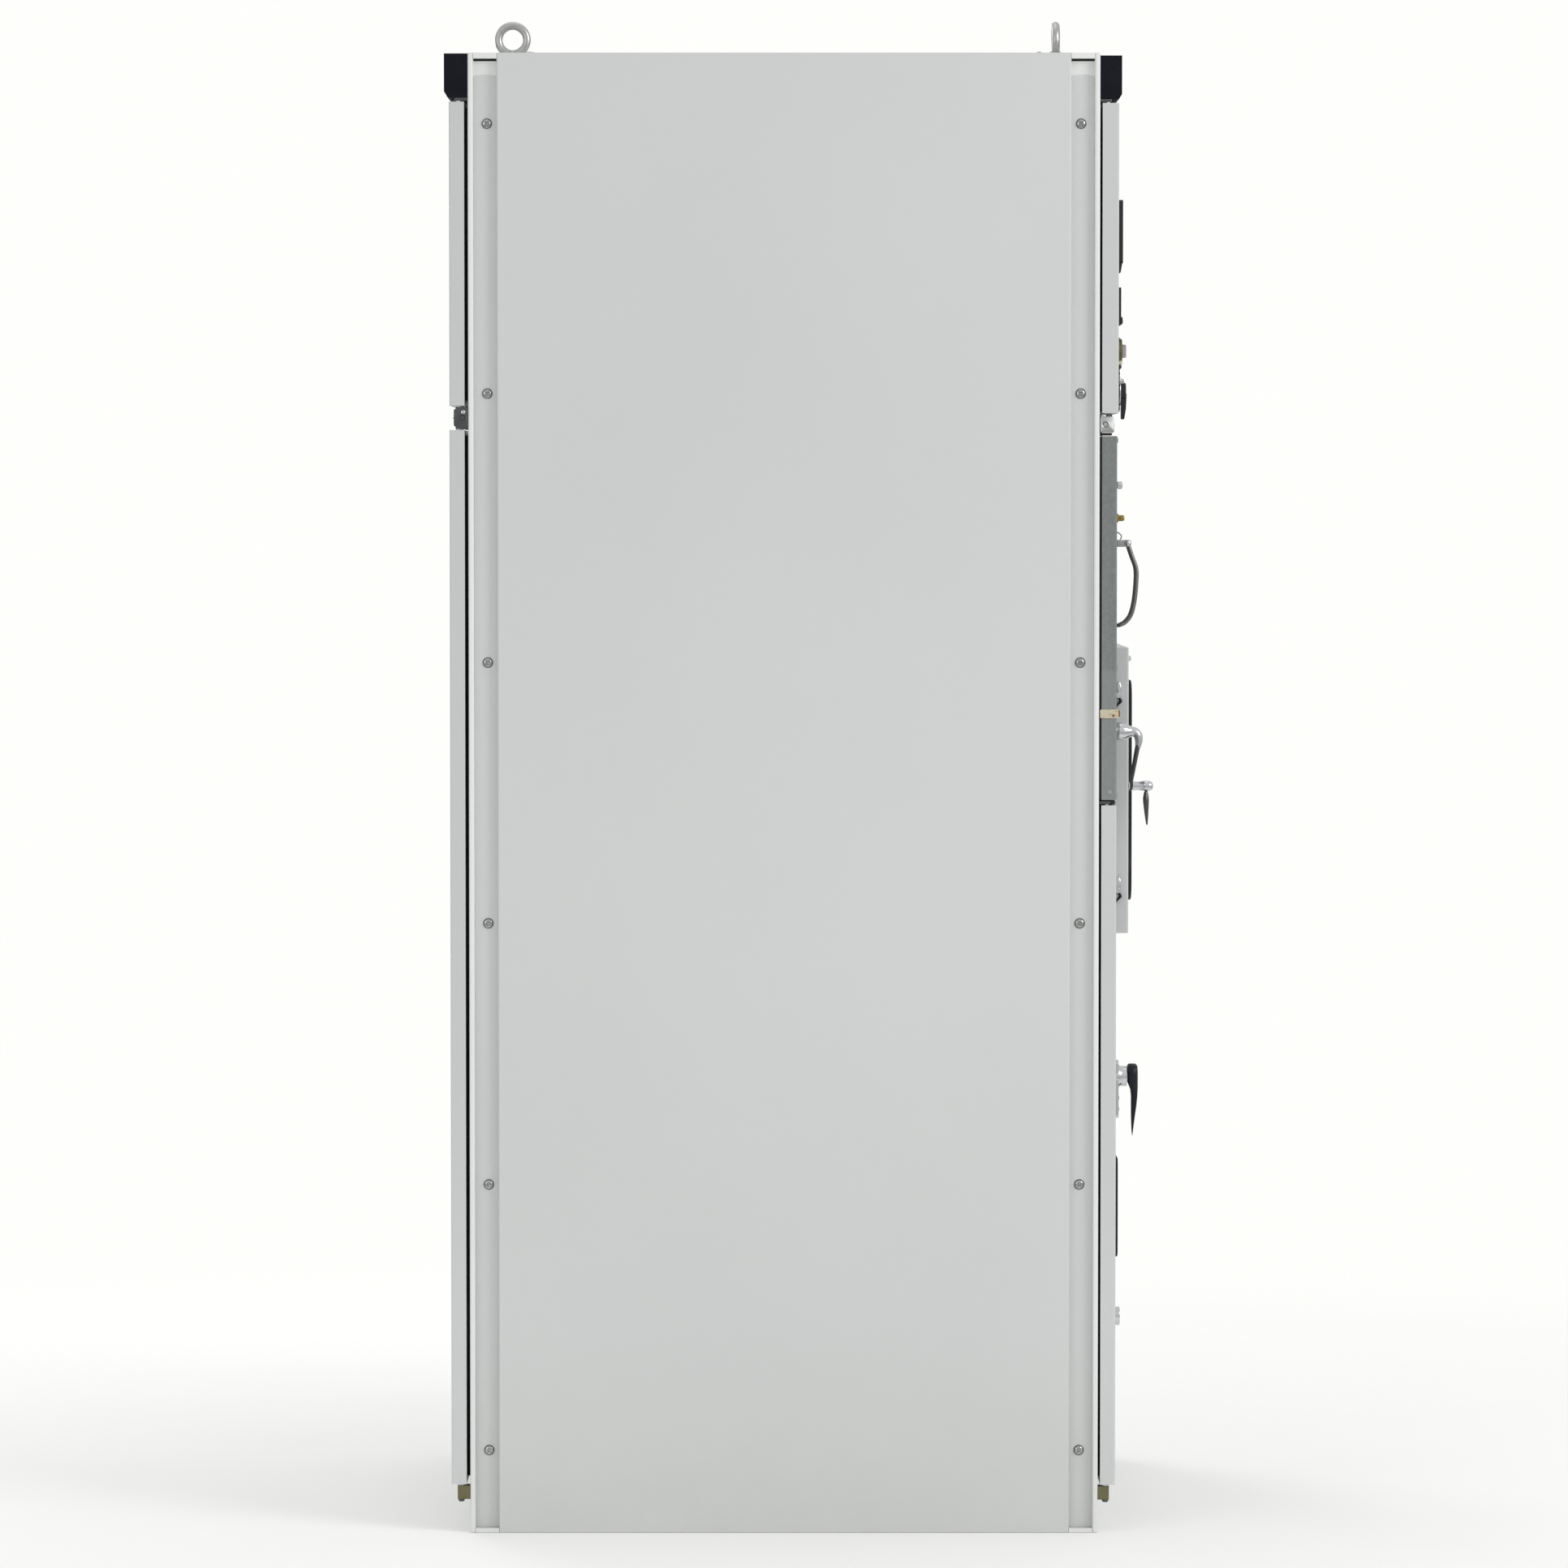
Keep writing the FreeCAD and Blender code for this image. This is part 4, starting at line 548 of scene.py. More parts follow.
def tube(shape, points, radii, sides=16, steps=6, wide=(1, 0, 0)):
    """Bar with rounded ends along a smooth path. radii: one (wide, thick) pair per point."""
    path = smooth_path(points, steps)
    sizes = smooth_path([(*pair, 0) for pair in radii], steps)
    rows = []
    for i, here in enumerate(path):
        along = (path[min(i + 1, len(path) - 1)] - path[max(i - 1, 0)]).normalized()
        side = Vector(wide) - along * Vector(wide).dot(along)
        if side.length < 1e-3:
            side = along.orthogonal()
        side.normalize()
        rows.append((here, along, side, along.cross(side), sizes[i]))
    loops = [(rows[0], -1, math.radians(turn)) for turn in (80, 55, 30)]
    loops += [(row, 0, 0.0) for row in rows]
    loops += [(rows[-1], 1, math.radians(turn)) for turn in (30, 55, 80)]
    skin = []
    for (here, along, side, up, size), sign, turn in loops:
        shrink = math.cos(turn)
        middle = here + along * (sign * math.sin(turn) * size.y)
        skin.append([middle + side * (math.cos(a) * size.x * shrink)
                     + up * (math.sin(a) * size.y * shrink)
                     for a in [2 * math.pi * k / sides for k in range(sides)]])
    loft(shape, skin)


def wire(shape, points, r, sides=8, steps=5):
    tube(shape, points, [(r, r)] * len(points), sides, steps, (0.31, 0.93, 0.17))


def stack(shape, rows, sides=28, power=2.6):
    """Body from level sections (z, x0, x1, y0, y1), each a rounded superellipse."""
    loops = []
    for z, x0, x1, y0, y1 in rows:
        loop = []
        for k in range(sides):
            angle = 2 * math.pi * k / sides
            c, s = math.cos(angle), math.sin(angle)
            x = math.copysign(abs(c) ** (2 / power), c)
            y = math.copysign(abs(s) ** (2 / power), s)
            loop.append(((x0 + x1) / 2 + x * (x1 - x0) / 2, (y0 + y1) / 2 + y * (y1 - y0) / 2, z))
        loops.append(loop)
    loft(shape, loops)


def hoop(shape, centre, axis, major, minor, steps=56, sides=20):
    """Ring of round bar."""
    along = Vector(axis).normalized()
    side = along.orthogonal().normalized()
    up = along.cross(side)
    loops = []
    for i in range(steps):
        a = 2 * math.pi * i / steps
        out = side * math.cos(a) + up * math.sin(a)
        middle = Vector(centre) + out * major
        loops.append([middle + out * (math.cos(b) * minor) + along * (math.sin(b) * minor)
                      for b in [2 * math.pi * k / sides for k in range(sides)]])
    loft(shape, loops, close=True)


def screw_head(shape, centre, axis, r=7.0, high=3.6, cross=True, washer=0.0):
    """Pan head with a cross recess or a plain top, on an optional washer."""
    along = Vector(axis).normalized()
    side = along.orthogonal().normalized()
    up = along.cross(side)
    if washer:
        lathe(shape, [(r * 0.5, 0.0), (washer, 0.0), (washer, 0.5), (washer - 0.3, 0.8),
                      (r * 0.5, 0.8)], centre, axis, 28)
    steps = 40
    levels = (0.10, 0.2, 0.3, 0.4, 0.5, 0.56, 0.64, 0.75, 0.86, 0.94, 1.0)
    rows = [[shape.verts.new(Vector(centre) + along * high * (0.45 if cross else 1.0))]]
    for part in levels:
        row = []
        for k in range(steps):
            a = 2 * math.pi * k / steps
            x, z = part * math.cos(a), part * math.sin(a)
            top = high * (1.0 - 0.42 * part ** 4)
            if cross and min(abs(x), abs(z)) < 0.115 and max(abs(x), abs(z)) < 0.6:
                top -= high * 0.55 * (1.0 - max(abs(x), abs(z)))
            row.append(shape.verts.new(Vector(centre) + (side * x + up * z) * r + along * top))
        rows.append(row)
    rows.append([shape.verts.new(Vector(centre) + (side * math.cos(2 * math.pi * k / steps)
                                                   + up * math.sin(2 * math.pi * k / steps)) * r)
                 for k in range(steps)])
    for low, high_row in zip(rows, rows[1:]):
        for k in range(steps):
            n = (k + 1) % steps
            corners = [low[k % len(low)], high_row[k], high_row[n], low[n % len(low)]]
            shape.faces.new(list(dict.fromkeys(corners)))


def front_screws(shape, places, y, r, high):
    """Cross-recess screws that face -Y, at (x, z) places."""
    for x, z in places:
        screw_head(shape, (x, y, z), (0, -1, 0), r, high)


def hex_bolt(shape, centre, axis, washer, head):
    """Hexagon bolt on a washer; washer and head are (radius, distance) profiles."""
    lathe(shape, [(washer[0][0], 0), *washer, *head, (0, head[-1][1] + 0.2)], centre, axis, 6)


def put(name, shape, look, body="cabinet_frame", stands_for=(), sharp=38.0):
    """Makes a piece of a mesh in millimetres, with its finish, on its body."""
    slot, material = looks[look]
    bmesh.ops.scale(shape, vec=(MM, MM, MM), verts=shape.verts)
    bmesh.ops.recalc_face_normals(shape, faces=shape.faces)
    mesh = bpy.data.meshes.new(name)
    shape.to_mesh(mesh)
    shape.free()
    for face in mesh.polygons:
        face.use_smooth = True
    mesh.set_sharp_from_angle(angle=math.radians(sharp))
    mesh.materials.append(material)
    obj = bpy.data.objects.new(name, mesh)
    bpy.context.scene.collection.objects.link(obj)
    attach(obj, body)
    if stands_for:
        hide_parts(*stands_for)
    return obj


# Fasteners and eyebolts -----------------------------------------------------------

STRIP_X = 388.0            # side face of the recessed strips
SCREW_Y = (-440.0, 440.0)
SCREW_Z = (122.0, 520.0, 910.0, 1298.0, 1697.0, 2096.0)
EYEBOLT_X = (-305.0, 305.0)
EYEBOLT_Y = (-405.0, 405.0)
ROOF_Z = 2196.5
EYE_HIGH = 29.0            # roof to the middle of an eye


def panel_screws():
    shape = bmesh.new()
    rings = bmesh.new()
    # The washers get a dark forged finish as a painted shadow ring round each screw head.
    washer = [(3.0, 0.0), (7.7, 0.0), (7.7, 0.5), (7.3, 0.9), (3.0, 0.9), (3.0, 0.0)]
    for side in (-1, 1):
        for y in SCREW_Y:
            for z in SCREW_Z:
                turn = rng.uniform(-1.0, 1.0)
                place = (side * STRIP_X, y, z)
                screw_head(shape, place, (side, 0.02 * turn, 0.03 * turn), 6.4, 3.8)
                lathe(rings, washer, place, (side, 0, 0), 28)
    put("panel_screws", shape, "bright_screw", stands_for=("side_panel_screws",))
    put("panel_screw_shadow_washers", rings, "dark_forged")


def eyebolts():
    shape = bmesh.new()
    collar = [(0, -30), (6, -30), (6, 0), (15.5, 0), (16.2, 1.4), (15.6, 5.0), (12.5, 7.6),
              (9.5, 9.6), (7.0, 12.5), (0, 13.0)]
    for x in EYEBOLT_X:
        for y in EYEBOLT_Y:
            axis = (0, 1, 0) if y < 0 else (1, 0, 0)
            lathe(shape, collar, (x, y, ROOF_Z), (0, 0, 1))
            hoop(shape, (x, y, ROOF_Z + EYE_HIGH), axis, 21.0, 6.0)
    put("eyebolts", shape, "forged", stands_for=("lifting_eyebolts",))


# Mechanism panel ------------------------------------------------------------------

FRONT = -494.0             # outer face of the front doors
EDGE_X = -398.0            # left edge of the front doors and panels
CRANK_X, CRANK_Z = -205.0, 1189.5
GRIP_Z = CRANK_Z - 82.5
BAIL_X = (-352.0, -312.0)
BAIL_Y, BAIL_Z = -512.7, 1475.0        # axis of the bail's pivots
CLIP_Z = (1215.5, 1228.5)


def crank():
    shape = bmesh.new()
    lathe(shape, [(0, -90), (7, -90), (7, 5.2), (10.0, 5.4), (12.2, 7.5), (13.3, 11), (13.6, 16),
                  (12.8, 22), (10.6, 27), (8.8, 30), (8.2, 33), (0, 34)], (CRANK_X, FRONT, CRANK_Z))
    path = [(CRANK_X, FRONT - out, CRANK_Z + dz)
            for out, dz in ((30, 0), (37, -1), (42, -5.5), (43.5, -13), (42.5, -22))]
    tube(shape, path, [(8.0, 8.0), (8.2, 7.4), (8.0, 6.8), (7.6, 6.0), (7.0, 4.6)], 24)
    put("crank_hub", shape, "chrome", "crank", ("crank",))
    shape = bmesh.new()
    path = [(CRANK_X, FRONT - out, CRANK_Z + dz)
            for out, dz in ((43.2, -15), (41.0, -27), (37.5, -46), (34.3, -64), (32.0, -78),
                            (31.2, -88))]
    tube(shape, path, [(6.4, 3.8), (7.6, 3.8), (7.8, 3.5), (7.6, 3.1), (8.4, 2.8), (7.0, 2.5)], 20)
    put("crank_arm", shape, "dark_forged", "crank")


def crank_grip():
    shape = bmesh.new()
    lathe(shape, [(0, 27.8), (5.4, 27.8), (6.6, 28.6), (6.6, 30.4), (4.4, 31.2), (4.4, 34.0),
                  (7.2, 34.6), (6.9, 37), (6.4, 41), (7.0, 47), (7.6, 51), (6.8, 51.6),
                  (7.8, 52.3), (7.9, 57), (7.3, 61), (5.6, 63.8), (2.8, 65.0), (0, 65.2)],
          (CRANK_X, FRONT, GRIP_Z))
    put("crank_spindle", shape, "chrome", "crank_grip", ("crank_grip",))
    shape = bmesh.new()
    path = [(CRANK_X, FRONT - out, GRIP_Z + dz)
            for out, dz in ((55.2, 0), (54.9, -7), (54.6, -12), (54.6, -21), (55.0, -34),
                            (55.6, -47), (56.0, -58))]
    tube(shape, path, [(3.2, 2.8), (2.8, 2.3), (3.8, 3.5), (5.6, 4.6), (4.8, 3.7), (3.4, 2.5),
                       (1.8, 1.2)], 18)
    put("crank_drop_grip", shape, "dark_forged", "crank_grip")


def bail():
    shape = bmesh.new()
    side = [(BAIL_Y, BAIL_Z), (-519.5, 1455.0), (-525.4, 1437.5), (-525.6, 1416.0),
            (-522.8, 1388.0), (-517.5, 1368.0), (-509.0, 1357.0), (-501.0, 1353.0)]
    left, right = BAIL_X
    path = [(left, y, z) for y, z in side] + [(left + 7, -497.6, 1352.5)]
    path += [(left + 20, -497.4, 1352.5), (right - 7, -497.6, 1352.5)]
    path += [(right, y, z) for y, z in reversed(side)]
    tube(shape, path, [(2.75, 2.75)] * len(path), 16, 5)
    put("bail_rod", shape, "bail_steel", "bail_handle", ("bail_handle",))
    shape = bmesh.new()
    for x, sign in zip(BAIL_X, (-1, 1)):
        lathe(shape, [(0, -12.0), (2.4, -12.0), (2.4, -2.8), (4.6, -2.6), (5.2, 0), (4.6, 2.6),
                      (2.8, 4.2), (0, 4.8)], (x, BAIL_Y, BAIL_Z), (sign, 0, 0), 28)
    put("bail_pivots", shape, "chrome", "bail_handle")


def bearing_flange():
    shape = bmesh.new()
    holed_plate(shape, CRANK_X, CRANK_Z, 26.0, 7.5, FRONT, FRONT - 3.0)
    lathe(shape, [(7.5, 2.5), (12.4, 2.5), (12.8, 4.0), (12.4, 4.6), (7.5, 4.6), (7.5, 2.5)],
          (CRANK_X, FRONT, CRANK_Z))
    places = [(CRANK_X + dx, CRANK_Z + dz) for dx in (-19, 19) for dz in (-19, 19)]
    front_screws(shape, places, FRONT - 2.9, 4.0, 2.2)
    put("bearing_flange", shape, "zinc", stands_for=("mechanism_fittings",))


def bail_lugs():
    """Knuckles that hold the bail's pivots, and the spring pawl beside them."""
    shape = bmesh.new()
    for x in (BAIL_X[0] + 8, BAIL_X[1] - 8):
        stack(shape, [(1480.0, x - 2, x + 2, -516, FRONT), (1479.0, x - 3.6, x + 3.6, -517.5, FRONT),
                      (1475.0, x - 3.8, x + 3.8, -518.2, FRONT),
                      (1470.6, x - 3.6, x + 3.6, -517, FRONT), (1469.6, x - 2, x + 2, -515, FRONT)],
              24, 5.0)
        plate(shape, x - 6, x + 6, 1462, 1488, FRONT, FRONT - 1.6, 3, 0.5)
    x = BAIL_X[0]
    tube(shape, [(x, -495, 1492), (x, -500, 1489.5), (x, -503, 1485), (x, -501, 1481)],
         [(3, 1.1), (3, 1.0), (2.6, 0.9), (2, 0.8)], 12)
    put("bail_lugs", shape, "zinc")


def side_clip():
    """Cream clip folded round the panel's left edge, with its rusty screws."""
    low, high = CLIP_Z
    shape = bmesh.new()
    slab(shape, "x", [(x, -496.6 + inset, -469.2 - inset, low + inset, high - inset)
                      for x, inset in ((EDGE_X, 0.0), (-399.3, 0.0), (-399.8, 0.5))], 1.8)
    plate(shape, -399.4, -382.0, low, high, FRONT, FRONT - 2.4, 1.6, 0.5)
    put("side_clip", shape, "cream")
    shape = bmesh.new()
    screw_head(shape, (-391.0, FRONT - 2.3, 1222.5), (0, -1, 0), 5.0, 3.2, washer=6.0)
    screw_head(shape, (-399.6, -489.0, 1219.5), (-1, 0, 0), 2.2, 0.35)
    put("clip_screws", shape, "rust")


def mechanism_panel_screws():
    shape = bmesh.new()
    places = [(x, z) for z in (1100.0, 1290.0, 1628.0) for x in (-386.0, -186.0)]
    front_screws(shape, places, FRONT, 4.2, 2.0)
    plate(shape, -335, -262, 1585, 1615, FRONT, FRONT - 0.9, 2.5, 0.3)
    put("mechanism_panel_screws", shape, "bright_screw")
    shape = bmesh.new()
    lathe(shape, [(0, 0.02), (3.2, 0.05), (3.2, 0.5), (2.0, 0.5), (0, 0.25)],
          (EDGE_X - 0.05, -484.0, 1106.0), (-1, 0, 0), 24)
    put("panel_hole_rim", shape, "zinc")


# Handles and latches --------------------------------------------------------------

HANDLE_X, HANDLE_Z = -280.0, 672.5
LATCHES = (("upper", 1243.0), ("lower", 945.5))
LATCH_X, LATCH_Y = -152.4, -509.0


def door_handle():
    shape = bmesh.new()
    rows = []
    for dz, back, front, half in ((19.0, 27, 33, 4), (18.4, 24.4, 36.2, 10),
                                  (15.6, 22.8, 38.4, 14.2), (8, 22.3, 38.9, 17.2),
                                  (0, 22.3, 39, 18.0), (-8, 22.9, 39, 16.4),
                                  (-14, 25.2, 39, 13.4), (-20, 27.6, 38.9, 11.2),
                                  (-30, 28.6, 38.4, 10.0), (-45, 28.6, 37.0, 9.2),
                                  (-60, 28.7, 34.8, 8.2), (-74, 29.2, 32.9, 6.8),
                                  (-84, 29.8, 31.8, 5.0), (-89, 30.4, 31.2, 2.6)):
        rows.append((HANDLE_Z + dz, HANDLE_X - half, HANDLE_X + half, FRONT - front, FRONT - back))
    stack(shape, rows, 32, 3.0)
    put("handle_lever", shape, "gloss_black", "door_handle", ("door_handle",))
    shape = bmesh.new()
    lathe(shape, [(0, -32.5), (9.4, -32.5), (9.4, 23.5), (0, 23.5)], (HANDLE_X, FRONT, HANDLE_Z))
    plate(shape, HANDLE_X - 8, HANDLE_X + 8, HANDLE_Z - 10, HANDLE_Z + 32, -460, -463, 3, 0.5)
    put("handle_spindle", shape, "zinc", "door_handle")


def handle_boss():
    shape = bmesh.new()
    lathe(shape, [(15.3, 0.5), (17.4, 1.0), (17.8, 8.0), (17.2, 10.5), (15.6, 12.5),
                  (15.3, 16.0), (15.3, 21.0), (14.4, 21.9), (10.5, 21.9)],
          (HANDLE_X, FRONT, HANDLE_Z))
    front_screws(shape, [(HANDLE_X, HANDLE_Z - 50), (HANDLE_X, HANDLE_Z - 33)], FRONT - 9.3,
                 3.6, 1.8)
    put("handle_boss", shape, "chrome", "mechanism_door")


def breaker_latches():
    for tag, z in LATCHES:
        body = "breaker_latch_" + tag
        shape = bmesh.new()
        stack(shape, [(z + 20.0, -158, -156, -510, -508), (z + 19.4, -160, -154, -512, -506),
                      (z + 16, -161, -153.4, -513.6, -504.6), (z + 8, -161.2, -153.2, -514, -504.4),
                      (z + 1, -161, -153.4, -513.4, -505), (z - 1.2, -159.6, -154.6, -511, -507)],
              28, 3.4)
        pivot = (LATCH_X, LATCH_Y, z)
        lathe(shape, [(0, -2), (4.6, -2), (4.6, 8.5), (4.0, 9.4), (0, 9.6)], pivot, (-1, 0, 0))
        lathe(shape, [(0, -12), (3.4, -12), (3.4, 0), (0, 0)], pivot, (-1, 0, 0))
        put("latch_cap_" + tag, shape, "chrome", body, (body,))
        shape = bmesh.new()
        path = [(-157.5, -508.5, z + 3), (-158, -510.5, z - 4), (-158, -512.2, z - 9),
                (-158, -509.0, z - 13), (-158, -506.0, z - 17), (-158, -504.5, z - 21)]
        tube(shape, path, [(3.2, 1.8), (3.4, 1.9), (3.2, 2.6), (3.0, 1.7), (3.0, 1.5), (2.4, 1.2)],
             16)
        put("latch_lever_" + tag, shape, "gloss_black", body)


# Windows ----------------------------------------------------------------------------

def window(tag, outline, face, out, wide, corner):
    """Rubber frame and smoked pane of a door's window; outline is x0, x1, z0, z1."""
    x0, x1, z0, z1 = outline
    body = tag + "_door"
    shape = bmesh.new()
    bezel(shape, x0, x1, z0, z1, wide, face, face - out, corner, 1.8)
    put(tag + "_window_frame", shape, "window_plastic", body, (tag + "_window",))
    shape = bmesh.new()
    inset = wide - 3
    plate(shape, x0 + inset, x1 - inset, z0 + inset, z1 - inset, face - 0.3, face - 3.2,
          max(corner - inset, 2.0), 0.4)
    put(tag + "_window_pane", shape, "smoked", body)


# Front devices --------------------------------------------------------------------

DOOR_FACE = -496.0         # outer face of the instrument door
DEVICE_OUT = 7.5           # how far the relay's and the meters' faces stand out
METERS = (-60.0, 60.0, 180.0)
METER_Z = 1925.0
SCALE_MARKS = 30
SCALE_R = 54.0             # outer end of a meter's scale marks, from the pointer's axis
LAMPS = (-80.0, -20.0, 40.0, 120.0, 180.0)      # lamps and push buttons
LAMP_Z = 1770.0
SWITCH_X, SWITCH_Z = -312.0, 1702.0
KEY_X, KEY_Z = -318.0, 1761.5
BREAKER_FACE = -525.0      # outer face of the breaker door
MIMIC_X = 123.0            # the diagram's vertical line


def relay():
    x0, x1, z0, z1 = -340.0, -190.0, 1892.0, 1986.0
    face = DOOR_FACE - DEVICE_OUT
    shape = bmesh.new()
    plate(shape, x0 + 12, x0 + 82, z0 + 34, z1 - 16, face, face - 0.8, 2, 0.3)
    put("relay_screen", shape, "screen", "instrument_door")
    shape = bmesh.new()
    for i in range(4):
        for k in range(2):
            x = x0 + 94 + i * 11
            z = z1 - 32 - k * 12
            plate(shape, x, x + 8, z - 6, z + 2, face, face - 1.3, 1.6, 0.5)
    for i in range(5):
        plate(shape, x0 + 14 + i * 14, x0 + 24 + i * 14, z0 + 14, z0 + 22, face, face - 1.3,
              1.6, 0.5)
    put("relay_keys", shape, "grey_resin", "instrument_door")
    shape = bmesh.new()
    for i in range(6):
        lathe(shape, [(1.6, 0), (1.6, 0.7), (0.9, 1.2), (0, 1.3)],
              (x0 + 98 + i * 8, face, z0 + 20), steps=16)
    put("relay_lights", shape, "green_plastic", "instrument_door")
    shape = bmesh.new()
    plate(shape, x0 + 94, x1 - 14, z0 + 30, z0 + 36, face, face - 0.3, 0.8, 0.1)
    plate(shape, x0 + 14, x0 + 60, z1 - 13, z1 - 9, face, face - 0.3, 0.8, 0.1)
    put("relay_labels", shape, "label", "instrument_door")


def display():
    x0, x1, z0, z1 = -340.0, -244.0, 1800.0, 1856.0
    face = DOOR_FACE - 4.9
    shape = bmesh.new()
    plate(shape, x0 + 10, x1 - 10, z0 + 20, z1 - 9, face, face - 0.7, 1.5, 0.3)
    put("display_screen", shape, "screen", "instrument_door")
    shape = bmesh.new()
    for i in range(4):
        x = x0 + 16 + i * 19
        lathe(shape, [(3.2, 0), (3.2, 0.9), (2.6, 1.4), (0, 1.5)], (x, DOOR_FACE - 8.4, z0 + 6.5),
              steps=20)
    put("display_keys", shape, "grey_resin", "instrument_door")


def meters():
    """Square dials with a scale, a pointer that turns in a corner, and a clear cover."""
    z = METER_Z
    face = DOOR_FACE - DEVICE_OUT
    dial = bmesh.new()
    marks = bmesh.new()
    glass_face = bmesh.new()
    for n, x in enumerate(METERS):
        plate(dial, x - 41.5, x + 41.5, z - 41.5, z + 41.5, face, face - 0.25, 2.5, 0.1)
        pivot = Vector((x + 25, 0, z - 26))
        for i in range(SCALE_MARKS + 1):
            a = math.radians(92 + 86 * i / SCALE_MARKS)
            major = i % 5 == 0
            long, half = (8.0, 0.55) if major else (4.5, 0.28)
            ends = []
            for r in (SCALE_R - long, SCALE_R):
                out = Vector((math.cos(a), 0, math.sin(a)))
                across = Vector((-out.z, 0, out.x)) * half
                for sign in (-1, 1):
                    point = pivot + out * r + across * sign
                    ends.append(marks.verts.new((point.x, face - 0.45, point.z)))
            marks.faces.new((ends[0], ends[1], ends[3], ends[2]))
        a = math.radians(174 - 22 * n)
        tube(marks, [(pivot.x, face - 1.4, pivot.z),
                     (pivot.x + 49 * math.cos(a), face - 1.4, pivot.z + 49 * math.sin(a))],
             [(0.9, 0.5), (0.35, 0.25)], 8, 3)
        lathe(marks, [(5.5, 0.3), (5.5, 2.0), (4.6, 2.6), (0, 2.8)], (pivot.x, face, pivot.z),
              steps=24)
        plate(marks, x - 36, x - 14, z - 34, z - 32.6, face - 0.2, face - 0.5, 0.5, 0.1)
        plate(glass_face, x - 42, x + 42, z - 42, z + 42, face - 3.4, face - 4.2, 2.5, 0.3)
    put("meter_dials", dial, "dial", "instrument_door")
    put("meter_marks", marks, "ink", "instrument_door")
    put("meter_glass", glass_face, "pane", "instrument_door")


def lamps_and_rings():
    shape = bmesh.new()
    for x in LAMPS:
        lathe(shape, [(11.4, 5.0), (11.7, 7.4), (13.4, 7.6), (15.0, 6.6), (15.6, 4.0), (15.6, 0.2),
                      (14.4, 0.1)], (x, DOOR_FACE, LAMP_Z))
    put("device_rings", shape, "chrome", "instrument_door")
    shape = bmesh.new()
    for x in LAMPS:
        plate(shape, x - 17, x + 17, 1742, 1750, DOOR_FACE, DOOR_FACE - 0.8, 1.2, 0.25)
    plate(shape, -340, -190, 2040, 2064, DOOR_FACE, DOOR_FACE - 0.9, 2.0, 0.3)
    plate(shape, -60, 180, 2034, 2070, DOOR_FACE, DOOR_FACE - 0.9, 2.0, 0.3)
    put("name_labels", shape, "label", "instrument_door")
    shape = bmesh.new()
    x, z = SWITCH_X, SWITCH_Z
    for i in range(9):
        a = math.radians(30 + 15 * i)
        cx, cz = x + 24.5 * math.cos(a), z + 24.5 * math.sin(a)
        plate(shape, cx - 0.6, cx + 0.6, cz - 2.0, cz + 2.0, DOOR_FACE - 4.1, DOOR_FACE - 4.6,
              0.3, 0.1)
    places = [(x + dx, z + dz) for dx in (-26, 26) for dz in (-26, 26)]
    front_screws(shape, places, DOOR_FACE - 4.1, 2.4, 1.0)
    put("control_switch_scale", shape, "bright_screw", "instrument_door")


def key_switch():
    """Brass guard ring round the key switch, with a cream collar and a black foot below."""
    x, z = KEY_X, KEY_Z
    shape = bmesh.new()
    lathe(shape, [(9.8, 0.2), (19.6, 0.2), (20.4, 1.2), (20.2, 5.0), (18.8, 5.6), (18.8, 7.4),
                  (17.4, 8.6), (12.0, 9.2), (9.8, 8.6), (9.8, 0.2)], (x, DOOR_FACE, z))
    put("key_guard", shape, "hinge_brass", "instrument_door")
    shape = bmesh.new()
    stack(shape, [(1747.5, x - 13.0, x + 13.0, -503.8, -496), (1746.0, x - 14.2, x + 14.2,
                  -505.2, -496), (1742.0, x - 13.4, x + 13.4, -505.0, -496),
                  (1740.6, x - 11.0, x + 11.0, -503.6, -496)], 24, 3.4)
    put("key_collar", shape, "cream", "instrument_door")
    shape = bmesh.new()
    stack(shape, [(1740.8, x - 10.0, x + 10.0, -503.4, -496), (1738.0, x - 11.0, x + 11.0,
                  -504.6, -496), (1734.0, x - 9.0, x + 9.0, -502.0, -496),
                  (1731.5, x - 5.0, x + 5.0, -498.5, -496)], 20, 3.0)
    put("key_shield", shape, "black_plastic", "instrument_door")


def switch_trim():
    """Bright collar, two nuts and two lugs round the control switch."""
    x, z = SWITCH_X, SWITCH_Z
    shape = bmesh.new()
    hoop(shape, (x, DOOR_FACE - 5.2, z), (0, 1, 0), 21.0, 1.5, 48, 10)
    for dx in (-26, 26):
        lathe(shape, [(0, 0), (4.4, 0), (4.4, 5.6), (3.6, 6.6), (2.0, 7.0), (0, 7.1)],
              (x + dx, DOOR_FACE - 3.9, z + 14), steps=6)
    put("switch_collar", shape, "chrome", "instrument_door")
    shape = bmesh.new()
    for dz in (27.5, -27.5):
        lathe(shape, [(0, 0), (5.0, 0), (5.0, 2.6), (3.4, 4.4), (0, 4.8)],
              (x + 14, DOOR_FACE - 1.0, z + dz), steps=24)
    put("switch_lugs", shape, "black_plastic", "instrument_door")


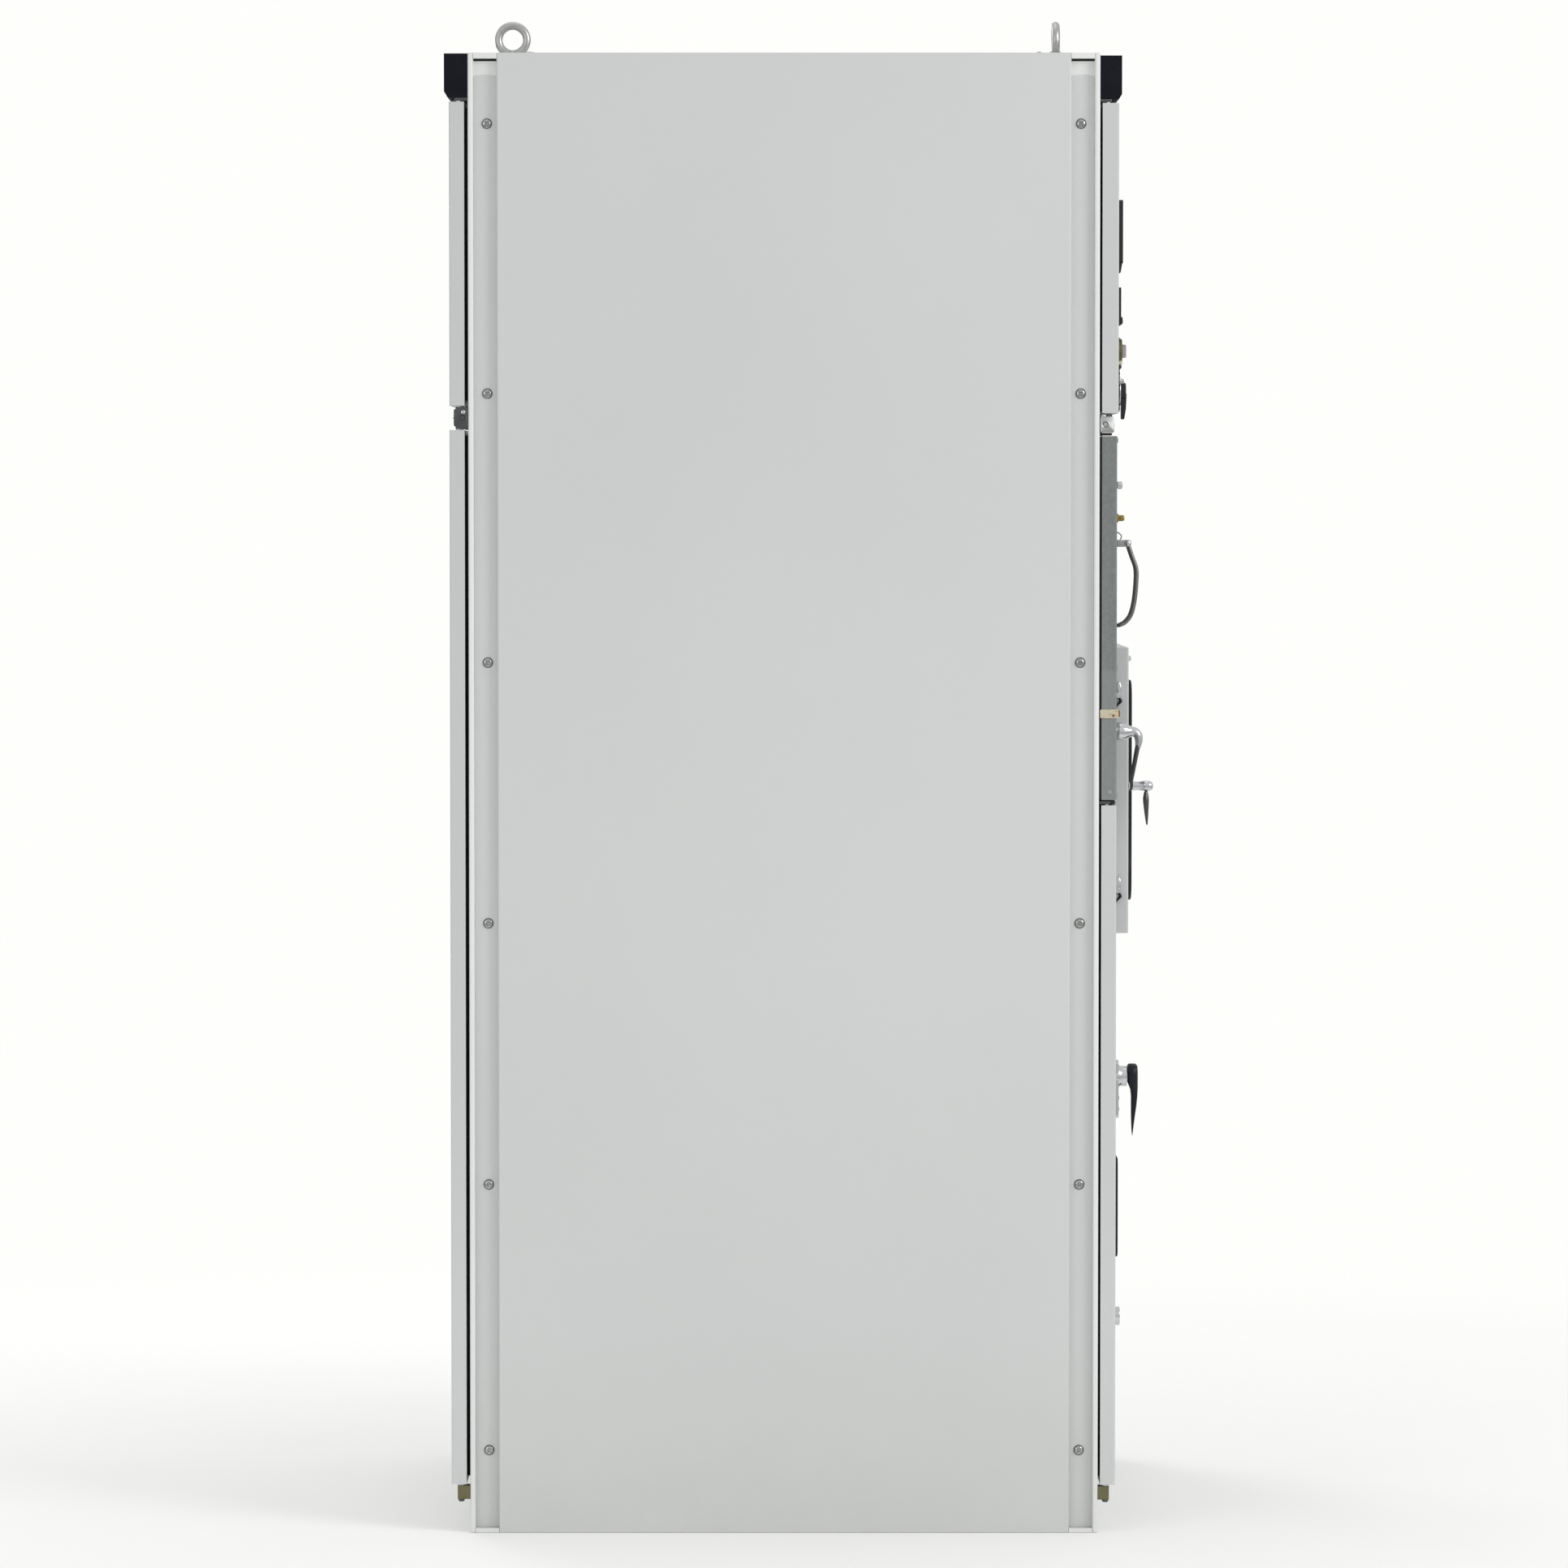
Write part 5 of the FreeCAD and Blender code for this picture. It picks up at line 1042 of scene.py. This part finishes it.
def mimic():
    """Single-line diagram in raised strips on the fixed panel."""
    shape = bmesh.new()
    x, face = MIMIC_X, FRONT
    for x0, x1, z0, z1 in ((x - 190, x + 190, 1596, 1602), (x - 3, x + 3, 1545, 1596),
                           (x - 3, x + 3, 1410, 1470), (x - 3, x + 3, 1352, 1380),
                           (x - 30, x + 3, 1407, 1413), (x - 33, x - 27, 1380, 1413)):
        plate(shape, x0, x1, z0, z1, face, face - 1.0, 0.8, 0.3)
    put("mimic_lines", shape, "ink")
    shape = bmesh.new()
    for z in (1535.0, 1480.0):
        lathe(shape, [(13, 0.2), (13, 3.0), (11.5, 4.0), (0, 4.2)], (x, face, z))
    stack(shape, [(1537, x - 2.6, x + 2.6, face - 6.4, face - 3), (1528, x - 2.6, x + 2.6,
                  face - 6.4, face - 3), (1512, x - 1.5, x + 1.5, face - 5.0, face - 3)], 12, 3)
    bezel(shape, x - 16, x + 16, 1378, 1412, 4, face, face - 1.6, 2.0, 0.5)
    put("mimic_symbols", shape, "red_plastic")
    shape = bmesh.new()
    plate(shape, x - 200, x - 110, 1540, 1566, face, face - 0.9, 2.0, 0.3)
    plate(shape, x + 110, x + 200, 1540, 1566, face, face - 0.9, 2.0, 0.3)
    places = [(cx, z) for cx in (-140.0, 386.0) for z in (1331.0, 1626.0)]
    front_screws(shape, places, face, 4.2, 2.0)
    put("mimic_labels", shape, "label")


def door_labels():
    shape = bmesh.new()
    plate(shape, 60, 240, 770, 830, FRONT, FRONT - 0.9, 2.5, 0.3)
    put("cable_door_label", shape, "label", "cable_door")
    shape = bmesh.new()
    plate(shape, -60, 80, 1275, 1302, BREAKER_FACE, BREAKER_FACE - 0.9, 2.5, 0.3)
    put("breaker_door_label", shape, "label", "breaker_door")


# Hinges ---------------------------------------------------------------------------

PIN_X = 391.0              # hinge axes
FRONT_PIN_Y, REAR_PIN_Y = -479.5, 481.5


def hinge_details():
    shape = bmesh.new()
    washer = [(3.05, 0.1), (5.6, 0.1), (6.0, 0.5), (6.0, 1.2), (5.6, 1.6), (3.05, 1.6)]
    for x, y, z in ((-PIN_X, FRONT_PIN_Y, 1667.0), (-PIN_X, FRONT_PIN_Y, 69.0),
                    (PIN_X, FRONT_PIN_Y, 69.0), (-PIN_X, REAR_PIN_Y, 1677.0),
                    (-PIN_X, REAR_PIN_Y, 70.0), (-PIN_X, REAR_PIN_Y, 1643.2)):
        lathe(shape, washer, (x, y, z), (0, 0, 1), 28)
    for y, z in ((REAR_PIN_Y, 1661.0), (FRONT_PIN_Y, 1655.0)):
        sign = 1 if y > 0 else -1
        plate(shape, -398.2, -386, z - 1.0, z + 1.0, y - 9 * sign, y + 9 * sign, 0.8, 0.2)
        screw_head(shape, (-398.3, y - 6 * sign, z + 8), (-1, 0, 0), 3.0, 1.2)
    put("hinge_washers", shape, "chrome")
    shape = bmesh.new()
    head = [(0, 0), (4.6, 0), (4.8, -0.6), (4.8, -3.0), (3.4, -4.4), (0, -4.8)]
    for place in ((-PIN_X, FRONT_PIN_Y, 49.0), (PIN_X, FRONT_PIN_Y, 49.0),
                  (-PIN_X, REAR_PIN_Y, 50.0)):
        lathe(shape, head, place, (0, 0, 1), 28)
    put("hinge_pin_heads", shape, "dark_forged")


FRAME_Y = 468.0            # front and rear planes of the frame
SHUT_Y = 471.5             # inner face of the shut front doors


def hinge_leaves():
    """Pressed leaves between the left doors' hinges, front and rear, with black strips and discs
    painted as shade in the joints and the holes.
    """
    dark = bmesh.new()
    near, far = FRAME_Y + 1.0, 489.5
    for sign, z0, z1, name, look in ((-1, 1638.8, 1663.0, "front_hinge_leaf", "zinc"),
                                     (1, 1648.0, 1674.2, "rear_hinge_leaf", "dark_steel")):
        shape = bmesh.new()
        loops = []
        for x, inset in ((-394.6, 0.0), (-398.2, 0.0), (-398.9, 0.8)):
            edge = rounded(near + inset, far - inset, z0 + inset, z1 - inset, 3.0)
            loops.append([(x, sign * y, z) for y, z in edge])
        loft(shape, loops)
        hole = (-398.4, sign * 476.5, (z0 + z1) / 2)
        lathe(shape, [(4.4, 0.2), (6.2, 0.2), (6.2, 1.0), (5.4, 1.4), (4.4, 1.0), (4.4, 0.2)],
              hole, (-1, 0, 0), 28)
        # Black disc in each hole, painted as the shade inside it.
        lathe(dark, [(0, -0.4), (4.4, -0.4), (4.4, 0.7), (3.0, 0.4), (0, 0.3)], hole,
              (-1, 0, 0), 28)
        # Black strips just above and below each leaf, painted as shadow.
        middle = sign * 478.0
        for a, b in ((z1 + 0.3, z1 + 3.2), (z0 - 3.6, z0 - 0.3)):
            stack(dark, [(z, -397.0, -358.0, middle - 8.5, middle + 8.5) for z in (b, a)], 20, 9.0)
        # Black strip on the frame's face beside each leaf, painted as the shade in the gap.
        middle = sign * (FRAME_Y + 2.0)
        slab(dark, "z", [(z, -397.0 + inset, -376.0, middle - 2.0, middle + 2.0) for z, inset in
                         ((z0 - 4.6, 0.4), (z0 - 4.2, 0.0), (z1 + 3.8, 0.0), (z1 + 4.2, 0.4))],
             0.8, 3)
        put(name, shape, look)
    put("hinge_shadow_strips", dark, "seal_rubber")


def edge_shade_tapes():
    """Thin black tape on the hinged edge of the two left doors' inner faces, painted as the shade in
    the gap to the frame.
    """
    for body, z0, z1 in (("instrument_door", 1700.0, 2098.0), ("mechanism_door", 100.0, 1058.0)):
        shape = bmesh.new()
        slab(shape, "z", [(z, -396.6 + inset, -376.0 - inset, -SHUT_Y, -SHUT_Y + 0.45) for z, inset
                          in ((z0, 0.2), (z0 + 0.6, 0.0), (z1 - 0.6, 0.0), (z1, 0.2))], 0.2, 3)
        put(body + "_edge_shade_tape", shape, "seal_rubber", body)


def panel_gaskets_and_gap_shade():
    """Black rubber strips behind the fixed panels' outer edges and under the mechanism panel:
    gaskets that also stand as painted shade in the gaps.
    """
    shape = bmesh.new()
    for x, z0 in ((-392.0, 1095.0), (392.0, 1324.0)):
        slab(shape, "z", [(z, x - 4.4 + inset, x + 4.4 - inset, -471.4 + inset * 0.3, -FRAME_Y)
                          for z, inset in ((z0, 0.4), (z0 + 1, 0.0), (1632.0, 0.0), (1633.0, 0.4))],
             0.5, 3)
    slab(shape, "z", [(z, -396.5 + inset, -232.0 - inset, -492.0 + inset, -470.0) for z, inset in
                      ((1087.6, 0.8), (1088.2, 0.0), (1092.6, 0.0), (1093.2, 0.8))], 2.0, 4)
    put("panel_gaskets_and_gap_shade", shape, "seal_rubber")


def strip_lip_shadows():
    """Black strip painted as the shadow under the top lip of each recessed strip."""
    shape = bmesh.new()
    for side in (-1, 1):
        for y in (-1, 1):
            low, high = sorted((y * 425.5, y * 459.8))
            slab(shape, "x", [(side * x, low + inset, high - inset, 2188.2, 2191.5)
                              for x, inset in ((STRIP_X, 0.0), (STRIP_X + 0.25, 0.2))], 0.6)
    put("strip_lip_shadows", shape, "seal_rubber")


# Interior -------------------------------------------------------------------------

PHASES = (-45.0, 110.0, 265.0)
BUSBAR_Z = (2060.0, 1980.0, 1900.0)
HOUSING_FACE = -384.0      # front of the breaker's housing
GLAND_Z = 95.0


def bar_bolts():
    shape = bmesh.new()
    head = [(7.6, 1.4), (7.6, 6.4), (6.8, 7.2)]
    for x, level in zip(PHASES, BUSBAR_Z):
        for dz in (-10, 10):
            for y, axis in ((253.8, (0, -1, 0)), (300.2, (0, 1, 0))):
                hex_bolt(shape, (x, y, level + dz), axis, [(9.5, 1.2), (8.8, 1.4)], head)
        for z in (1325.0, 1350.0, 1060.0, 1035.0):
            hex_bolt(shape, (x, 86.2, z), (0, 1, 0), [(9.5, 1.2)], head)
    put("bar_bolts", shape, "zinc")


def cable_bushings():
    """Rubber bushings in the gland plate's bores."""
    shape = bmesh.new()
    for x, y, r in [(x, 78.0, 30.0) for x in PHASES] + [(-270.0, -250.0, 20.0)]:
        lathe(shape, [(r - 5, -3.5), (r + 4, -3.5), (r + 4, -0.1), (r - 0.2, 0), (r - 0.2, 2.5),
                      (r + 4, 2.6), (r + 4, 5.5), (r - 2, 8), (r - 5, 8), (r - 5, -3.5)],
              (x, y, GLAND_Z), (0, 0, 1), 44)
    put("cable_bushings", shape, "seal_rubber")


def breaker_front():
    shape = bmesh.new()
    face = HOUSING_FACE
    plate(shape, 30, 215, 1215, 1255, face, face - 1.2, 3, 0.4)
    plate(shape, -50, 30, 970, 1010, face, face - 1.0, 2, 0.3)
    put("breaker_plates", shape, "label")
    shape = bmesh.new()
    front_screws(shape, [(-58, 962), (278, 962), (-58, 1263), (278, 1263), (40, 1222),
                         (205, 1222)], face, 4.5, 2.4)
    bezel(shape, 60, 130, 1060, 1100, 5, face, face - 3, 4, 0.8)
    put("breaker_front_fittings", shape, "zinc")
    shape = bmesh.new()
    plate(shape, 66, 95, 1066, 1094, face, face - 1.2, 1.5, 0.3)
    put("breaker_flag", shape, "green_plastic")
    shape = bmesh.new()
    plate(shape, 95.5, 124, 1066, 1094, face, face - 1.2, 1.5, 0.3)
    put("spring_flag", shape, "cream")


def wiring():
    """Control wires: from the terminals down the column, and behind the door's devices."""
    grey = bmesh.new()
    blue = bmesh.new()
    for i in range(18):
        x = -272.0 + i * 12
        sag = rng.uniform(-3, 3)
        shape = grey if i % 3 else blue
        wire(shape, [(x, -108, 1744), (x + sag, -114, 1728), (x * 0.6 - 120, -112 - 0.4 * i, 1706),
                     (-322 + i * 1.6, -100 - 0.5 * i, 1700 + 0.3 * i)], 1.3)
    for i in range(10):
        x = 8.0 + 10 * i
        wire(grey if i % 2 else blue, [(x, -120, 1727), (x, -126, 1716), (x - 20, -118, 1704),
                                       (-40 + i, -108, 1700 + 0.3 * i)], 1.5)
    put("control_wires", grey, "wire_grey")
    put("signal_wires", blue, "wire_blue")
    shape = bmesh.new()
    for x0, x1, z0, z1 in ((-345, -335, 1700, 2090), (-335, 330, 1690, 1698)):
        plate(shape, x0, x1 + 14, z0, z1 + 14, -62, -90, 2, 0.6)
    for i in range(16):
        z = 1712 + i * 24
        plate(shape, -344, -322, z, z + 10, -90, -90.7, 1, 0.2)
    put("wiring_ducts", shape, "grey_resin")
    shape = bmesh.new()
    for x, z in [(m, METER_Z) for m in METERS] + [(-265.0, 1939.0)]:
        for k in (-1, 1):
            wire(shape, [(x + 8 * k, -440, z - 18), (x + 10 * k, -432, z - 60),
                         (x * 0.8 - 30 + 4 * k, -440, 1852), (-350, -452 + 2 * k, 1845 + 3 * k)],
                 1.6)
    put("door_wires", shape, "wire_grey", "instrument_door")


def insulator_bolts():
    """Bolts of the busbars' post insulators and of the earth bar."""
    shape = bmesh.new()
    for x in (-300.0, 300.0):
        for z in BUSBAR_Z:
            hex_bolt(shape, (x, 290.0, z), (0, -1, 0), [(10, 1.4)], [(8, 1.6), (8, 7), (7, 8)])
    for i in range(7):
        hex_bolt(shape, (-300.0 + 75 * i, 430.0, 200.0), (0, -1, 0), [(8, 1)],
                 [(6.4, 1.1), (6.4, 5), (5.6, 5.6)])
    put("insulator_bolts", shape, "zinc")


def roof_fittings():
    shape = bmesh.new()
    for x in (-235.0, -118.0, 0.0, 118.0, 235.0):
        for y in (-46.0, 226.0):
            screw_head(shape, (x, y, ROOF_Z + 2), (0, 0, 1), 5.0, 1.4, cross=False)
    put("flap_bolts", shape, "dark_forged")
    shape = bmesh.new()
    for x in (-340.0, 0.0, 340.0):
        for y in (-442.0, 442.0):
            screw_head(shape, (x, y, ROOF_Z), (0, 0, 1), 5.5, 3.0, washer=6.8)
    for side in (-1, 1):
        for y in (-200.0, 200.0):
            screw_head(shape, (side * 372.0, y, ROOF_Z), (0, 0, 1), 5.5, 3.0, washer=6.8)
    put("roof_screws", shape, "bright_screw")


LIGHT_GREY = (0.668, 0.685, 0.678)
COOL_GREY = (0.610, 0.625, 0.625)


def finishes():
    """Every finish by name: the record's material slot and the material itself."""
    made = {
        "powder_coat": powder_coat("panel_coat", LIGHT_GREY, floor_shade=0.2),
        "door_coat": powder_coat("door_coat", COOL_GREY),
        # The frame coat is a brighter copy of the grey coat; the extra brightness is painted light
        # for the posts' lit lips.
        "frame_coat": powder_coat("frame_coat", (0.840, 0.855, 0.845), 0.38, floor_shade=0.2),
        "black_coat": plastic("black_coat", (0.003, 0.004, 0.008), 0.55, 0.10, 900.0, 0.12),
        "galvanised": galvanised("galvanised", (0.205, 0.220, 0.214)),
        "zinc": metal("zinc_plate", (0.52, 0.53, 0.53), 0.34),
        "chrome": metal("chrome_plate", (0.70, 0.71, 0.73), 0.10, 0.03),
        "brass": metal("dull_brass", (0.46, 0.33, 0.12), 0.36, 0.12, dull=0.15),
        "hinge_brass": metal("hinge_casting", (0.23, 0.215, 0.125), 0.44, 0.30, dull=0.25),
        "dark_steel": plastic("dark_steel", (0.050, 0.053, 0.058), 0.36, 0.20, 600.0),
        "black_plastic": plastic("black_plastic", (0.006, 0.007, 0.009), 0.42),
        "window_plastic": rubber("window_rubber", (0.006, 0.006, 0.008)),
        "seal_rubber": rubber("seal_rubber", (0.006, 0.006, 0.008)),
        "copper": metal("copper_bar", (0.72, 0.36, 0.22), 0.30, 0.15, (1.0, 1.0, 0.08), 0.2),
        "resin": resin("cast_resin", (0.26, 0.060, 0.032)),
        "grey_resin": plastic("grey_resin", (0.30, 0.32, 0.34), 0.40),
        "red_plastic": plastic("red_plastic", (0.50, 0.015, 0.012), 0.28),
        "green_plastic": plastic("green_plastic", (0.015, 0.28, 0.06), 0.28),
        "lamp_lens": lens("lamp_lens", (0.70, 0.30, 0.04)),
    }
    looks = {name: (name, material) for name, material in made.items()}
    extra = (
        ("bright_screw", "zinc", metal("screw_plate", (0.47, 0.48, 0.47), 0.16, 0.05)),
        ("forged", "zinc", metal("forged_zinc", (0.56, 0.56, 0.55), 0.34, 0.22, dull=0.12)),
        ("dark_forged", "dark_steel", metal("forged_steel", (0.13, 0.13, 0.135), 0.34, 0.2)),
        ("bail_steel", "dark_steel", metal("bar_steel", (0.24, 0.24, 0.24), 0.36, 0.15)),
        ("gloss_black", "black_plastic", plastic("satin_black", (0.004, 0.005, 0.009), 0.38, 0.04,
                                                  shine=0.3)),
        ("cream", "grey_resin", aged_cream("aged_cream")),
        ("rust", "brass", rust("rusty_screw")),
        ("screen", "window_plastic", screen("screen_glass")),
        ("smoked", "window_plastic", glass("smoked_glass", (0.56, 0.57, 0.59), 0.03)),
        ("pane", "lamp_lens", glass("clear_glass", (0.95, 0.96, 0.96), 0.02)),
        ("dial", "grey_resin", plastic("dial_face", (0.80, 0.80, 0.77), 0.55, 0.02, drift=0.03)),
        ("ink", "black_plastic", plastic("printed_black", (0.010, 0.010, 0.012), 0.5, 0.03)),
        ("label", "grey_resin", plastic("label_laminate", (0.70, 0.70, 0.66), 0.35, 0.03,
                                            drift=0.05)),
        ("wire_grey", "grey_resin", plastic("wire_grey", (0.16, 0.165, 0.17), 0.42, 0.05)),
        ("wire_blue", "grey_resin", plastic("wire_blue", (0.02, 0.07, 0.25), 0.42, 0.05)),
    )
    looks.update({name: (slot, material) for name, slot, material in extra})
    return looks


# Assembly ---------------------------------------------------------------------------

add_camera()
add_world()
add_floor()
for title, place, size, power in SOFTBOXES:
    add_softbox(title, place, size, power)

looks = finishes()
slot_of = {part["node"]: part["material_slot"] for part in frame["record"]["subparts"]}
for name, obj in nodes.items():
    obj.data.materials.clear()
    obj.data.materials.append(looks[slot_of[name]][1])

panel_screws()
eyebolts()
crank()
crank_grip()
bail()
bearing_flange()
bail_lugs()
side_clip()
mechanism_panel_screws()
door_handle()
handle_boss()
breaker_latches()
window("mechanism", (-365.0, -255.0, 408.0, 557.5), FRONT, 5.0, 14.0, 12.0)
window("breaker", (-132.0, 148.0, 928.0, 1265.0), BREAKER_FACE, 6.2, 20.0, 30.0)
relay()
display()
meters()
lamps_and_rings()
key_switch()
switch_trim()
mimic()
door_labels()
hinge_details()
hinge_leaves()
edge_shade_tapes()
panel_gaskets_and_gap_shade()
strip_lip_shadows()
bar_bolts()
cable_bushings()
breaker_front()
wiring()
insulator_bolts()
roof_fittings()

bpy.context.scene.view_settings.view_transform = "Standard"
